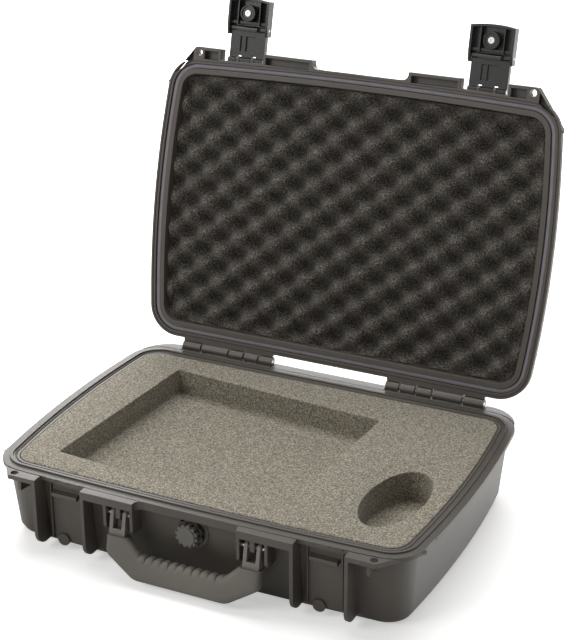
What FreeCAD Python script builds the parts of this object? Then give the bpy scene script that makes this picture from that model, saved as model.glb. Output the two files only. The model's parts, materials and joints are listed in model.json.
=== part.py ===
import FreeCAD, Part

import math
import os
import sys

import Sketcher

# A hard case with a hinged lid, two draw latches, a folding handle and a purge valve.
# Millimetres. X is the width, -Y the handle side, +Z up. The origin is the middle of the flat bottom.
# Lid pieces are drawn with the lid shut, and stand open by the lid's placement.

SIZES = {
    # Outline of the case at its seal line, seen from above
    "seal_half_width": 225.0,
    "seal_half_depth": 155.0,
    "side_bow": 9.7,
    "front_bow": 4.85,
    "seal_corner": 28.0,
    # Shell walls
    "base_height": 86.0,
    "lid_height": 34.0,
    "wall": 3.5,
    "rim_setback": 5.0,
    "base_overhang": 3.0,
    "base_draft": 8.0,
    "foot_round": 9.0,
    "foot_corner": 27.0,
    "lid_draft": 5.0,
    "crown_round": 9.0,
    "crown_corner": 20.0,
    "floor_round": 6.0,
    "cut_overrun": 4.0,
    # Rim: flange, ridge and the lid's gasket channel
    "flange_reach": 9.2,
    "flange_thick": 5.0,
    "skirt_drop": 9.0,
    "skirt_width": 4.5,
    "ridge_half": 1.6,
    "ridge_height": 2.0,
    "lid_gap": 0.3,
    "lid_flange_thick": 7.5,
    "channel_outer": 3.0,
    "channel_inner": 2.5,
    "channel_depth": 5.0,
    "gasket_play": 0.1,
    # Front blocks, fins, latch recess and padlock tabs
    "front_plane": 178.5,
    "block_inner": 58.0,
    "block_outer": 119.0,
    "block_thick": 9.0,
    "notch_radius": 7.0,
    "fin_thick": 4.0,
    "fin_foot": 7.0,
    "fin_round": 16.0,
    "tab_inner": 172.4,
    "tab_outer": 205.0,
    "tab_side_x": 239.0,
    "tab_side_y": 134.0,
    "tab_root": 150.0,
    "lock_x": 200.5,
    "lock_y": 172.2,
    "lock_radius": 4.0,
    "lock_boss": 7.0,
    "panel_half": 18.5,
    "panel_plane": 160.2,
    "panel_foot": 11.0,
    "panel_top_gap": 9.0,
    "rib_thick": 2.0,
    "rib_reach": 2.8,
    "foot_bump_radius": 7.0,
    "foot_bump_rise": 13.0,
    "keeper_half": 15.0,
    "keeper_drop": 17.0,
    "keeper_thick": 4.0,
    "keeper_plane": 167.0,
    "stop_width": 11.0,
    "stop_reach": 1.3,
    "stop_thick": 2.6,
    "stop_pitch": 14.5,
    "gusset_x": 193.0,
    "gusset_thick": 3.5,
    "gusset_drop": 19.0,
    "gusset_plane": 173.0,
    "shelf_drop": 12.0,
    "shelf_plane": 166.0,
    "lid_block_height": 12.0,
    "block_wall": 3.6,
    "hollow_depth": 8.5,
    "hollow_back": 165.2,
    # Hinge
    "hinge_y": 173.6,
    "hinge_rise": 3.0,
    "hinge_outer": 188.3,
    "knuckle_gap": 2.0,
    "knuckle_radius": 6.3,
    "base_knuckle_outer": 23.5,
    "lid_knuckle_outer": 34.0,
    "base_knuckle_middle": 18.0,
    "lid_knuckle_inner": 17.0,
    "base_knuckle_inner": 16.0,
    "hinge_pin_radius": 2.5,
    "running_gap": 0.05,
    "press_gap": 0.01,
    "knuckle_rib_drop": 30.0,
    "hinge_root": 145.0,
    "ledge_plane": 178.0,
    "ledge_side_x": 233.2,
    "ledge_side_y": 132.0,
    "ledge_corner": 40.0,
    "lid_open_angle": 103.36,
    # Handle
    "handle_pivot_y": 172.0,
    "handle_pivot_z": 68.0,
    "ear_outer": 92.0,
    "ear_thick": 3.6,
    "ear_drop": 36.0,
    "ear_root": 150.0,
    "fork_inner": 66.0,
    "fork_outer": 84.0,
    "prong_thick": 4.0,
    "prong_radius": 5.6,
    "lug_half": 2.6,
    "lug_radius": 5.6,
    "handle_pin_radius": 2.2,
    "handle_pin_inset": 1.5,
    "fork_slot_foot": 53.0,
    "neck_thick": 9.0,
    "handle_lean": 15.0,
    "grip_top": 46.0,
    "grip_half_width": 86.0,
    "grip_arm_inner": 57.0,
    "grip_knee": 26.0,
    "grip_foot": 4.0,
    "grip_foot_half": 52.0,
    "grip_opening_foot": 32.0,
    "grip_opening_round": 9.0,
    "grip_thick": 16.0,
    "grip_edge": 3.5,
    "core_half_width": 80.0,
    "core_arm_width": 13.0,
    "core_knee": 32.0,
    "core_foot": 11.0,
    "core_foot_half": 55.0,
    "core_bar": 12.0,
    "core_thick": 6.0,
    "rib_start": 50.0,
    "rib_groove_width": 1.8,
    "rib_groove_depth": 2.2,
    # Purge valve
    "valve_z": 61.0,
    "valve_boss_radius": 19.0,
    "valve_boss_front": 162.0,
    "valve_boss_back": 154.0,
    "valve_shank_radius": 8.0,
    "valve_bore_play": 0.2,
    "valve_flange_radius": 15.5,
    "valve_flange_thick": 5.0,
    "valve_lobe_depth": 2.2,
    "valve_neck_radius": 5.0,
    "valve_bore_radius": 3.5,
    "knob_radius": 12.6,
    "knob_thick": 6.0,
    "knob_gap": 0.3,
    "knob_tooth_depth": 2.0,
    "knob_cap_thick": 1.4,
    "seal_inset": 3.0,
    "seal_thick": 1.0,
    "seal_play": 0.6,
    "valve_nut_radius": 12.5,
    "valve_nut_thick": 4.5,
    "membrane_thick": 0.8,
    # Latch: places are given from its hinge pin, with the latch flipped out level with the lid
    "latch_pin_y": 168.5,
    "latch_pin_rise": 12.0,
    "latch_pin_radius": 1.7,
    "latch_ear_near": 7.2,
    "latch_ear_far": 11.3,
    "latch_ear_radius": 4.0,
    "latch_ear_root": 150.0,
    "link_half_width": 22.0,
    "link_knuckle_radius": 3.8,
    "link_play": 0.3,
    "link_plate_low": 0.5,
    "link_plate_high": 5.0,
    "link_plate_end": 33.0,
    "link_rail_width": 3.5,
    "link_rail_rise": 3.0,
    "link_arm_step": 0.7,
    "link_window_end": 5.0,
    "link_channel_half": 9.5,
    "link_channel_start": 10.0,
    "link_channel_end": 27.0,
    "link_channel_depth": 2.2,
    "link_channel_rib": 1.6,
    "hook_half_width": 13.0,
    "hook_near": 33.3,
    "hook_far": 38.0,
    "hook_reach": 5.7,
    "cover_pin_run": 36.0,
    "cover_pin_rise": 2.0,
    "cover_pin_radius": 1.6,
    "cover_knuckle_radius": 3.0,
    "cover_half_width": 25.4,
    "cover_wall": 2.8,
    "cover_tip": 68.5,
    "cover_tip_bow": 2.4,
    "cover_low": 5.0,
    "cover_plate_low": 5.3,
    "cover_high": 8.0,
    "cover_wing_start": 28.5,
    "cover_shoulder": 41.0,
    "cover_bar": 3.0,
    "button_run": 53.5,
    "button_cup_radius": 9.6,
    "button_cup_bore": 7.0,
    "button_cup_floor": 2.0,
    "button_play": 0.05,
    "button_proud": 1.0,
    "button_length": 7.0,
    "button_travel": 2.0,
    "button_screw_radius": 2.4,
    "button_screw_head": 3.6,
    "button_screw_thick": 1.1,
    "button_screw_grip": 3.0,
    "spring_radius": 6.4,
    "spring_wall": 1.6,
    "spring_height": 2.6,
    # Foam
    "floor_thick": 3.5,
    "foam_play": 0.3,
    "pad_thick": 12.0,
    "foam_proud": 0.8,
    "pocket_x": -43.0,
    "pocket_y": -10.5,
    "pocket_width": 262.0,
    "pocket_depth_y": 229.0,
    "pocket_turn": -4.6,
    "pocket_deep": 30.0,
    "pocket_corner": 3.0,
    "oval_x": 176.0,
    "oval_y": -57.0,
    "oval_length": 120.0,
    "oval_width": 60.0,
    "oval_turn": -4.0,
    "oval_deep": 34.0,
    "relief_half": 21.0,
    "relief_low": 41.0,
    "relief_high": 81.5,
    "relief_back": 144.0,
    "lid_foam_tip": 3.0,
    "crate_pitch_x": 40.0,
    "crate_pitch_y": 18.5,
    "crate_relief": 15.0,
}

SHARES = {
    "foot_step_share": 0.3,
    "foot_inset_share": 0.3,
    "rib_count": 12,
    "valve_lobe_count": 9,
    "knob_tooth_count": 12,
    "lobe_rise_share": 0.3,
    "lobe_fall_share": 0.7,
    "tooth_root_share": 0.3,
    "tooth_rise_share": 0.45,
    "tooth_fall_share": 0.85,
    "nut_sides": 6,
    "tip_bow_steps": 6,
    "small_round_sides": 16,
    "small_screw_sides": 8,
    "knuckle_sides": 12,
}


class Size:
    """A length with its value and the sheet formula that it comes from."""

    def __init__(self, value, formula):
        self.value = float(value)
        self.formula = formula

    def __add__(self, other):
        return Size(self.value + value_of(other), f"({self.formula} + {formula_of(other)})")

    def __radd__(self, other):
        return Size(value_of(other) + self.value, f"({formula_of(other)} + {self.formula})")

    def __sub__(self, other):
        return Size(self.value - value_of(other), f"({self.formula} - {formula_of(other)})")

    def __rsub__(self, other):
        return Size(value_of(other) - self.value, f"({formula_of(other)} - {self.formula})")

    def __mul__(self, other):
        return Size(self.value * value_of(other), f"({self.formula} * {formula_of(other)})")

    __rmul__ = __mul__

    def __truediv__(self, other):
        return Size(self.value / value_of(other), f"({self.formula} / {formula_of(other)})")

    def __rtruediv__(self, other):
        return Size(value_of(other) / self.value, f"({formula_of(other)} / {self.formula})")

    def __neg__(self):
        return Size(-self.value, f"(0 - {self.formula})")


def value_of(item):
    return item.value if isinstance(item, Size) else float(item)


def formula_of(item):
    return item.formula if isinstance(item, Size) else repr(float(item))


def around(x, y, corners, count):
    """Points that repeat about a centre; each corner is a (share of one step, radius) pair."""
    points = []
    number = int(value_of(count))
    for step in range(number):
        for share, radius in corners:
            angle = 2 * math.pi * (step + share) / number
            across, up = (round(turn(angle), 12) for turn in (math.cos, math.sin))
            points.append((x + radius * across, y + radius * up))
    return points


class Sheet:
    """The spreadsheet of driving dimensions: each alias reads as a Size."""

    def __init__(self, document, rows):
        self._sheet = document.addObject("Spreadsheet::Sheet", "sizes")
        for row, (alias, value) in enumerate(rows.items(), start=1):
            self._sheet.set(f"A{row}", alias)
            self._sheet.set(f"B{row}", str(value))
            self._sheet.setAlias(f"B{row}", alias)
        document.recompute()

    def __getattr__(self, alias):
        return Size(getattr(self._sheet, alias), f"sizes.{alias}")


doc = FreeCAD.newDocument("hard_case")
case = Sheet(doc, {**SIZES, **SHARES})
PIECES = []


# Drawing aids

def bind(item, path, size):
    """Sets a property from the sheet, or straight away where it is a plain zero."""
    if isinstance(size, Size):
        item.setExpression(path, size.formula)


def new_body(name, lid=False):
    body = doc.addObject("PartDesign::Body", name)
    body.Label = name
    if lid:
        hinge = f"vector(0; {case.hinge_y.formula}; {hinge_z.formula})"
        turn = f"rotation(vector(1; 0; 0); {(-case.lid_open_angle).formula})"
        body.setExpression("Placement", f"placement(vector(0; 0; 0); {turn}; {hinge})")
    PIECES.append(body)
    return body


def origin_plane(body, role):
    return [item for item in body.Origin.OriginFeatures if item.Role == role][0]


class Drawing:
    """A sketch on one of its body's origin planes, each size tied to the sheet."""

    def __init__(self, body, name, role="XY_Plane", at=(0, 0, 0), turn=0):
        self.sketch = body.newObject("Sketcher::SketchObject", name)
        self.sketch.AttachmentSupport = [(origin_plane(body, role), "")]
        self.sketch.MapMode = "FlatFace"
        place = FreeCAD.Vector(*[value_of(item) for item in at])
        spin = FreeCAD.Rotation(FreeCAD.Vector(0, 0, 1), value_of(turn))
        self.sketch.AttachmentOffset = FreeCAD.Placement(place, spin)
        for axis, item in zip("xyz", at):
            bind(self.sketch, f"AttachmentOffset.Base.{axis}", item)
        bind(self.sketch, "AttachmentOffset.Rotation.Angle", turn)
        self.held = []

    def hold(self, kind, *refs, size=None):
        self.held.append((kind, refs, size))

    def place(self, curve, point, x, y):
        """Ties a point of a curve to its place, measured from the sketch's origin."""
        for kind, item, axis in (("DistanceX", x, -2), ("DistanceY", y, -1)):
            if value_of(item) == 0:
                self.hold("PointOnObject", curve, point, axis)
            else:
                self.hold(kind, -1, 1, curve, point, size=item)

    def add(self, curve, construction=False):
        return self.sketch.addGeometry(curve, construction)

    def finish(self):
        rows = []
        for kind, refs, size in self.held:
            extra = () if size is None else (value_of(size),)
            rows.append(Sketcher.Constraint(kind, *refs, *extra))
        start = self.sketch.ConstraintCount
        self.sketch.addConstraint(rows)
        for index, (kind, refs, size) in enumerate(self.held, start=start):
            if isinstance(size, Size):
                name = f"size{index}"
                self.sketch.renameConstraint(index, name)
                self.sketch.setExpression(f"Constraints.{name}", size.formula)
        self.held = []
        return self.sketch

    def circle(self, x, y, radius):
        centre = FreeCAD.Vector(value_of(x), value_of(y), 0)
        index = self.add(Part.Circle(centre, FreeCAD.Vector(0, 0, 1), value_of(radius)))
        self.place(index, 3, x, y)
        self.hold("Radius", index, size=radius)
        return self

    def polygon(self, points):
        """Draws a closed outline of straight sides. A third value at a corner is its radius."""
        flat = [(value_of(p[0]), value_of(p[1]), value_of(p[2]) if len(p) > 2 else 0.0) for p in points]
        count = len(flat)
        enter, leave, centres = [], [], []
        for i, (x, y, radius) in enumerate(flat):
            before, after = flat[i - 1], flat[(i + 1) % count]
            back = math.hypot(before[0] - x, before[1] - y)
            ahead = math.hypot(after[0] - x, after[1] - y)
            one = ((before[0] - x) / back, (before[1] - y) / back)
            two = ((after[0] - x) / ahead, (after[1] - y) / ahead)
            half = math.acos(max(-1, min(1, one[0] * two[0] + one[1] * two[1]))) / 2
            run = radius / math.tan(half) if radius else 0.0
            enter.append((x + one[0] * run, y + one[1] * run))
            leave.append((x + two[0] * run, y + two[1] * run))
            middle = (one[0] + two[0], one[1] + two[1])
            length = math.hypot(*middle) or 1
            reach = radius / math.sin(half) if radius else 0.0
            centres.append((x + middle[0] / length * reach, y + middle[1] / length * reach))
        lines = []
        for i in range(count):
            a, b = leave[i], enter[(i + 1) % count]
            lines.append(self.add(Part.LineSegment(FreeCAD.Vector(*a, 0), FreeCAD.Vector(*b, 0))))
        for i, point in enumerate(points):
            line_in, line_out = lines[i - 1], lines[i]
            radius = flat[i][2]
            if not radius:
                self.hold("Coincident", line_in, 2, line_out, 1)
                self.place(line_out, 1, point[0], point[1])
                continue
            corner = self.add(Part.Point(FreeCAD.Vector(flat[i][0], flat[i][1], 0)), True)
            self.place(corner, 1, point[0], point[1])
            self.hold("PointOnObject", corner, 1, line_in)
            self.hold("PointOnObject", corner, 1, line_out)
            centre = centres[i]
            start = math.atan2(enter[i][1] - centre[1], enter[i][0] - centre[0])
            end = math.atan2(leave[i][1] - centre[1], leave[i][0] - centre[0])
            sweep = (end - start + math.pi) % (2 * math.pi) - math.pi
            circle = Part.Circle(FreeCAD.Vector(*centre, 0), FreeCAD.Vector(0, 0, 1), radius)
            low, high = (start, start + sweep) if sweep > 0 else (end, end - sweep)
            arc = self.add(Part.ArcOfCircle(circle, low, high))
            first, last = (1, 2) if sweep > 0 else (2, 1)
            self.hold("Tangent", line_in, 2, arc, first)
            self.hold("Tangent", arc, last, line_out, 1)
            self.hold("Radius", arc, size=point[2])
        return self

    def regular(self, x, y, radius, sides):
        """Draws a regular outline of that many sides, its corners at the radius."""
        return self.polygon(around(x, y, [(0, radius)], sides))

    def box(self, x0, x1, y0, y1):
        return self.polygon([(x0, y0), (x1, y0), (x1, y1), (x0, y1)])

    def oval(self, length, width):
        """Draws an ellipse about the sketch's origin, its length along the sketch's Y."""
        half_length, half_width = length / 2, width / 2
        tall, wide = value_of(half_length), value_of(half_width)
        ellipse = self.add(Part.Ellipse(FreeCAD.Vector(0, tall, 0), FreeCAD.Vector(-wide, 0, 0),
                                        FreeCAD.Vector(0, 0, 0)))
        self.sketch.exposeInternalGeometry(ellipse)
        self.hold("Coincident", ellipse, 3, -1, 1)
        self.hold("Vertical", ellipse + 1)
        self.hold("Distance", ellipse + 1, size=length)
        self.hold("Distance", ellipse + 2, size=width)
        return self

    def case_outline(self, reach, corner):
        """Draws the case's outline, reach outside the seal line: bowed sides and front, straight back."""
        side_bow, front_bow = case.side_bow, case.front_bow
        half_width, half_depth = case.seal_half_width, case.seal_half_depth
        side_arc = (half_depth * half_depth + side_bow * side_bow) / (2 * side_bow)
        front_arc = (half_width * half_width + front_bow * front_bow) / (2 * front_bow)
        side_centre = half_width + side_bow - side_arc
        front_centre = front_arc - half_depth - front_bow
        side_radius, front_radius = side_arc + reach, front_arc + reach
        back = half_depth + reach
        cs, cf, r = value_of(side_centre), value_of(front_centre), value_of(corner)
        rs, rf, yb = value_of(side_radius), value_of(front_radius), value_of(back)
        span = math.hypot(cs, cf)
        along = ((rs - r) ** 2 - (rf - r) ** 2 + span ** 2) / (2 * span)
        off = math.sqrt((rs - r) ** 2 - along ** 2)
        ux, uy = -cs / span, cf / span
        front_corner = (cs + ux * along + uy * off, uy * along - ux * off)
        back_corner = (cs + math.sqrt((rs - r) ** 2 - (yb - r) ** 2), yb - r)

        def bearing(centre, point):
            return math.atan2(point[1] - centre[1], point[0] - centre[0])

        def arc(centre, radius, start, end):
            circle = Part.Circle(FreeCAD.Vector(*centre, 0), FreeCAD.Vector(0, 0, 1), radius)
            return Part.ArcOfCircle(circle, start, end)

        low, high = bearing((cs, 0), front_corner), bearing((cs, 0), back_corner)
        front = bearing((0, cf), front_corner)
        fx, fy = front_corner
        bx, by = back_corner
        first = self.sketch.GeometryCount
        self.sketch.addGeometry([
            arc((cs, 0), rs, low, high),
            arc((bx, by), r, high, math.pi / 2),
            Part.LineSegment(FreeCAD.Vector(bx, yb, 0), FreeCAD.Vector(-bx, yb, 0)),
            arc((-bx, by), r, math.pi / 2, math.pi - high),
            arc((-cs, 0), rs, math.pi - high, math.pi - low),
            arc((-fx, fy), r, math.pi - low, math.pi - front),
            arc((0, cf), rf, math.pi - front, front + 2 * math.pi),
            arc((fx, fy), r, front, low),
        ], False)
        count = 8
        for i in range(count):
            self.hold("Tangent", first + i, 2, first + (i + 1) % count, 1)
        for i in range(1, count, 2):
            self.hold("Radius", first + i, size=corner)
        self.hold("Radius", first, size=side_radius)
        self.hold("Radius", first + 4, size=side_radius)
        self.hold("Radius", first + 6, size=front_radius)
        self.place(first, 3, side_centre, 0)
        self.place(first + 4, 3, -side_centre, 0)
        self.place(first + 6, 3, 0, front_centre)
        self.hold("DistanceY", -1, 1, first + 2, 1, size=back)
        self.hold("Horizontal", first + 2)
        return self


def tip(body, feature):
    body.Tip = feature
    doc.recompute()
    return feature


def pad(body, drawing, length):
    """Adds a prism along the drawing plane's normal."""
    feature = body.newObject("PartDesign::Pad", drawing.sketch.Name + "_pad")
    feature.Profile = drawing.finish()
    bind(feature, "Length", length)
    feature.Length = value_of(length)
    return feature


def cut(body, drawing, length):
    """Cuts a prism along the drawing plane's normal."""
    feature = body.newObject("PartDesign::Pocket", drawing.sketch.Name + "_cut")
    feature.Profile = drawing.finish()
    feature.Reversed = True
    bind(feature, "Length", length)
    feature.Length = value_of(length)
    return feature


def mirror(body, features):
    """Repeats features on the other side of the middle plane."""
    feature = body.newObject("PartDesign::Mirrored", "other_side")
    feature.Originals = features
    feature.MirrorPlane = (origin_plane(body, "YZ_Plane"), [""])
    return tip(body, feature)


def loft(body, name, sections, kind="Additive"):
    """Joins case outlines given as (height, reach, corner radius), lowest first."""
    drawings = []
    for number, (height, reach, corner) in enumerate(sections):
        drawing = Drawing(body, f"{name}_section{number}", at=(0, 0, height))
        drawings.append(drawing.case_outline(reach, corner).finish())
    feature = body.newObject(f"PartDesign::{kind}Loft", name)
    feature.Profile = drawings[0]
    feature.Sections = drawings[1:]
    feature.Ruled = True
    return tip(body, feature)


def ring(body, name, height, outer, inner, corner, thickness, cutting=False):
    """Adds or cuts a band that follows the seal line between two reaches."""
    drawing = Drawing(body, name, at=(0, 0, height))
    drawing.case_outline(outer, corner + outer)
    drawing.case_outline(inner, corner + inner)
    return tip(body, (cut if cutting else pad)(body, drawing, thickness))


def block(body, name, x, y, z, cutting=False):
    """Adds or cuts a rectangular block; x, y and z are (low, high) pairs."""
    drawing = Drawing(body, name, at=(0, 0, z[0])).box(x[0], x[1], y[0], y[1])
    return (cut if cutting else pad)(body, drawing, z[1] - z[0])


def plate(body, name, x, points, cutting=False):
    """Adds or cuts a plate that stands across X; its outline's points are (y, z, radius)."""
    drawing = Drawing(body, name, "YZ_Plane", at=(0, 0, x[0])).polygon(points)
    return (cut if cutting else pad)(body, drawing, x[1] - x[0])


def barrel(body, name, x, y, z, radius):
    """Adds a knuckle along X, round enough for its size."""
    drawing = Drawing(body, name, "YZ_Plane", at=(0, 0, x[0])).regular(y, z, radius, case.knuckle_sides)
    return pad(body, drawing, x[1] - x[0])


def bar(body, name, x, y, z, radius, cutting=False):
    """Adds or cuts a round bar along X."""
    drawing = Drawing(body, name, "YZ_Plane", at=(0, 0, x[0])).circle(y, z, radius)
    return (cut if cutting else pad)(body, drawing, x[1] - x[0])


def revolve(body, name, points, at):
    """Turns an outline about the drawing's own horizontal axis, which at places."""
    drawing = Drawing(body, name, "YZ_Plane", at=at).polygon(points)
    feature = body.newObject("PartDesign::Revolution", name + "_turned")
    feature.Profile = drawing.finish()
    feature.ReferenceAxis = (drawing.sketch, ["H_Axis"])
    feature.Angle = 360
    return tip(body, feature)


# Heights and places that several pieces share

rim = case.base_height
hinge_z = rim + case.hinge_rise
lid_face = rim + case.lid_gap
lid_top = rim + case.lid_height
front = -case.front_plane
latch_middle = (case.block_outer + case.tab_inner) / 2
latch_y = -case.latch_pin_y
latch_z = rim + case.latch_pin_rise


def base_reach(height):
    """How far the base's outer wall stands from the seal line at a height."""
    return case.base_overhang - case.base_draft * (1 - height / case.base_height)


def base_corner(height):
    """The corner radius of the base's outer wall at a height above its rounded foot."""
    share = (height - case.foot_round) / (case.base_height - case.foot_round)
    return case.foot_corner + (case.seal_corner + case.base_overhang - case.foot_corner) * share


def lid_reach(height):
    """How far the lid's outer wall stands from the seal line at a height above the rim plane."""
    return -case.rim_setback - case.lid_draft * height / case.lid_height


def knuckle_places():
    """X spans of the hinge knuckles on the right side, as (name, near, far)."""
    widths = [("base", case.base_knuckle_outer), ("lid", case.lid_knuckle_outer),
              ("base", case.base_knuckle_middle), ("lid", case.lid_knuckle_inner),
              ("base", case.base_knuckle_inner)]
    far = case.hinge_outer
    places = []
    for owner, width in widths:
        places.append((owner, far - width, far))
        far = far - width - case.knuckle_gap
    return places


def base_shell():
    """The base: drafted walls with a rounded foot, a flange round the rim and the front's ribs and fins."""
    body = new_body("base_shell")
    flange_front = -(case.seal_half_depth + case.front_bow + case.flange_reach)
    paired = []
    # The slab over the handle's ears, with a rounded notch at its inner end
    slab = Drawing(body, "slab", at=(0, 0, rim - case.block_thick)).polygon([
        (case.block_inner - case.notch_radius - case.notch_radius / 2, flange_front),
        (case.block_inner, flange_front, case.notch_radius),
        (case.block_inner, front), (case.block_outer, front),
        (case.block_outer, -case.tab_root), (case.block_inner - case.notch_radius, -case.tab_root)])
    paired.append(pad(body, slab, case.block_thick))
    tab = Drawing(body, "lock_tab", at=(0, 0, rim - case.flange_thick)).polygon([
        (case.tab_inner, front), (case.tab_outer, front, case.fin_thick),
        (case.tab_side_x, -case.tab_side_y), (case.tab_inner, -case.tab_root)])
    paired.append(pad(body, tab, case.flange_thick))
    # Fins on both sides of the latch recess
    fin = [(front, rim - case.flange_thick), (front, case.fin_foot, case.fin_round),
           (-case.tab_root, case.fin_foot), (-case.tab_root, rim - case.flange_thick)]
    paired.append(plate(body, "inner_fin", (case.block_outer - case.fin_thick, case.block_outer), fin))
    paired.append(plate(body, "outer_fin", (case.tab_inner, case.tab_inner + case.fin_thick), fin))
    # The panel at the back of the latch recess, its side ribs and its rounded foot
    wall_low = (latch_middle - case.panel_half, latch_middle + case.panel_half)
    panel_top = rim - case.panel_top_gap
    paired.append(block(body, "panel", wall_low, (-case.panel_plane, -case.tab_root),
                        (case.panel_foot, panel_top)))
    for number, edge in enumerate(wall_low):
        near = edge - case.rib_thick / 2
        paired.append(plate(body, f"panel_rib{number}", (near, near + case.rib_thick), [
            (-case.panel_plane - case.rib_reach, rim - case.flange_thick),
            (-case.panel_plane - case.rib_reach, case.panel_foot + case.rib_reach),
            (-case.panel_plane, case.panel_foot),
            (-case.tab_root, case.panel_foot), (-case.tab_root, rim - case.flange_thick)]))
    # The keeper that the latch hooks under, and three stops on the flange's edge above it
    keeper_top = rim - case.keeper_drop
    paired.append(plate(body, "keeper", (latch_middle - case.keeper_half, latch_middle + case.keeper_half), [
        (-case.keeper_plane, keeper_top), (-case.keeper_plane, keeper_top - case.keeper_thick),
        (-case.tab_root, keeper_top - case.keeper_thick), (-case.tab_root, keeper_top + case.keeper_thick)]))
    stop_front = -(case.seal_half_depth + case.flange_reach + case.front_bow / 2 + case.stop_reach)
    for number in (-1, 0, 1):
        near = latch_middle + case.stop_pitch * number - case.stop_width / 2
        paired.append(block(body, f"stop{number + 2}", (near, near + case.stop_width),
                            (stop_front, -case.panel_plane), (rim - case.stop_thick, rim)))
    # Gusset and shelf under the padlock tab
    paired.append(plate(body, "gusset", (case.gusset_x, case.gusset_x + case.gusset_thick), [
        (-case.gusset_plane, rim - case.flange_thick), (-case.gusset_plane, rim - case.gusset_drop),
        (-case.ear_root + case.wall, rim - case.gusset_drop - case.gusset_thick),
        (-case.ear_root + case.wall, rim - case.flange_thick)]))
    paired.append(block(body, "shelf", (case.tab_inner, case.gusset_x),
                        (-case.shelf_plane, -case.ear_root + case.wall),
                        (rim - case.shelf_drop - case.rib_thick, rim - case.shelf_drop)))
    # Ears and middle lug for the handle
    pivot = (-case.handle_pivot_y, case.handle_pivot_z)
    ear = [(front, rim - case.block_thick), (front, rim - case.ear_drop + case.ear_thick),
           (front + case.ear_thick, rim - case.ear_drop), (-case.ear_root, rim - case.ear_drop),
           (-case.ear_root, rim - case.block_thick)]
    paired.append(plate(body, "inner_ear", (case.block_inner, case.block_inner + case.ear_thick), ear))
    paired.append(plate(body, "outer_ear", (case.ear_outer - case.ear_thick, case.ear_outer), ear))
    fork_middle = (case.fork_inner + case.fork_outer) / 2
    lug = [(pivot[0] - case.lug_radius, rim - case.block_thick),
           (pivot[0] - case.lug_radius, pivot[1] - case.lug_half),
           (pivot[0] - case.lug_half, pivot[1] - case.lug_radius),
           (pivot[0] + case.lug_half, pivot[1] - case.lug_radius),
           (pivot[0] + case.lug_radius, pivot[1] - case.lug_half),
           (pivot[0] + case.lug_radius, rim - case.block_thick)]
    paired.append(plate(body, "lug", (fork_middle - case.lug_half, fork_middle + case.lug_half), lug))
    # Base hinge knuckles, each with a rib down the back wall, and the hinge plate between them
    for number, (owner, near, far) in enumerate(knuckle_places()):
        if owner != "base":
            continue
        paired.append(barrel(body, f"knuckle{number}", (near, far), case.hinge_y, hinge_z,
                             case.knuckle_radius))
        paired.append(plate(body, f"knuckle_rib{number}", (near, far), [
            (case.hinge_root, rim), (case.hinge_y - case.knuckle_radius, rim),
            (case.hinge_y, hinge_z), (case.hinge_y + case.knuckle_radius - case.wall, rim - case.wall),
            (case.hinge_y + case.knuckle_radius / 2, rim - case.flange_thick - case.wall),
            (case.hinge_root, rim - case.knuckle_rib_drop)]))
    inner_end = knuckle_places()[-1][1]
    hinge_plate_edge = case.hinge_y - case.knuckle_radius - case.lid_gap
    paired.append(block(body, "hinge_plate", (inner_end, case.hinge_outer),
                        (case.hinge_root, hinge_plate_edge), (rim - case.flange_thick, rim)))
    # The rim's ledge behind the seal, between and outside the hinges
    ledge_inner, ledge_outer = inner_end - case.knuckle_gap / 2, case.hinge_outer + case.knuckle_gap / 2
    outer_ledge = Drawing(body, "outer_ledge", at=(0, 0, rim - case.flange_thick)).polygon([
        (ledge_outer, case.ledge_side_y), (case.ledge_side_x, case.ledge_side_y),
        (case.ledge_side_x, case.ledge_plane, case.ledge_corner), (ledge_outer, case.ledge_plane)])
    paired.append(pad(body, outer_ledge, case.flange_thick))
    mirror(body, paired)
    tip(body, block(body, "middle_ledge", (-ledge_inner, ledge_inner), (case.hinge_root, case.ledge_plane),
                    (rim - case.flange_thick, rim)))
    # A round boss at the foot of each panel, left of its middle on both sides
    for number, side in enumerate((-1, 1)):
        boss = Drawing(body, f"foot_bump{number}", "XZ_Plane", at=(0, 0, case.tab_root))
        boss.regular(side * latch_middle - case.panel_half / 3, case.foot_bump_rise, case.foot_bump_radius,
                     case.small_round_sides)
        tip(body, pad(body, boss, case.panel_plane + case.rib_reach - case.tab_root))
    # The walls, the flange and the skirt under its middle
    step = case.foot_round * case.foot_step_share
    loft(body, "walls", [
        (0, base_reach(0) - case.foot_round,
         case.foot_corner - case.foot_round / 2),
        (step, base_reach(0) - case.foot_round * case.foot_inset_share, case.foot_corner - step),
        (case.foot_round, base_reach(case.foot_round), case.foot_corner),
        (rim, base_reach(rim), base_corner(rim)),
    ])
    flange = Drawing(body, "flange", at=(0, 0, rim - case.flange_thick))
    flange.case_outline(case.flange_reach, case.seal_corner + case.flange_reach)
    tip(body, pad(body, flange, case.flange_thick))
    skirt = block(body, "skirt", (-case.block_inner, case.block_inner),
                  (flange_front, flange_front + case.skirt_width), (rim - case.skirt_drop, rim))
    tip(body, skirt)
    # The inside, up to the lip that the rim keeps over it, and the mouth through the lip
    bend, lip = case.floor_thick + case.floor_round, rim - case.flange_thick
    loft(body, "inside", [
        (case.floor_thick, base_reach(case.floor_thick) - case.wall - case.floor_round,
         case.foot_corner - case.floor_round),
        (bend, base_reach(bend) - case.wall, base_corner(bend) - case.wall),
        (lip, base_reach(lip) - case.wall, base_corner(lip) - case.wall),
    ], "Subtractive")
    mouth = Drawing(body, "mouth", at=(0, 0, lip))
    mouth.case_outline(-case.rim_setback - case.wall, case.seal_corner - case.rim_setback - case.wall)
    tip(body, cut(body, mouth, case.flange_thick + case.cut_overrun))
    ring(body, "ridge", rim - case.ridge_height, case.ridge_half, -case.ridge_half, case.seal_corner,
         2 * case.ridge_height)
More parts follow.
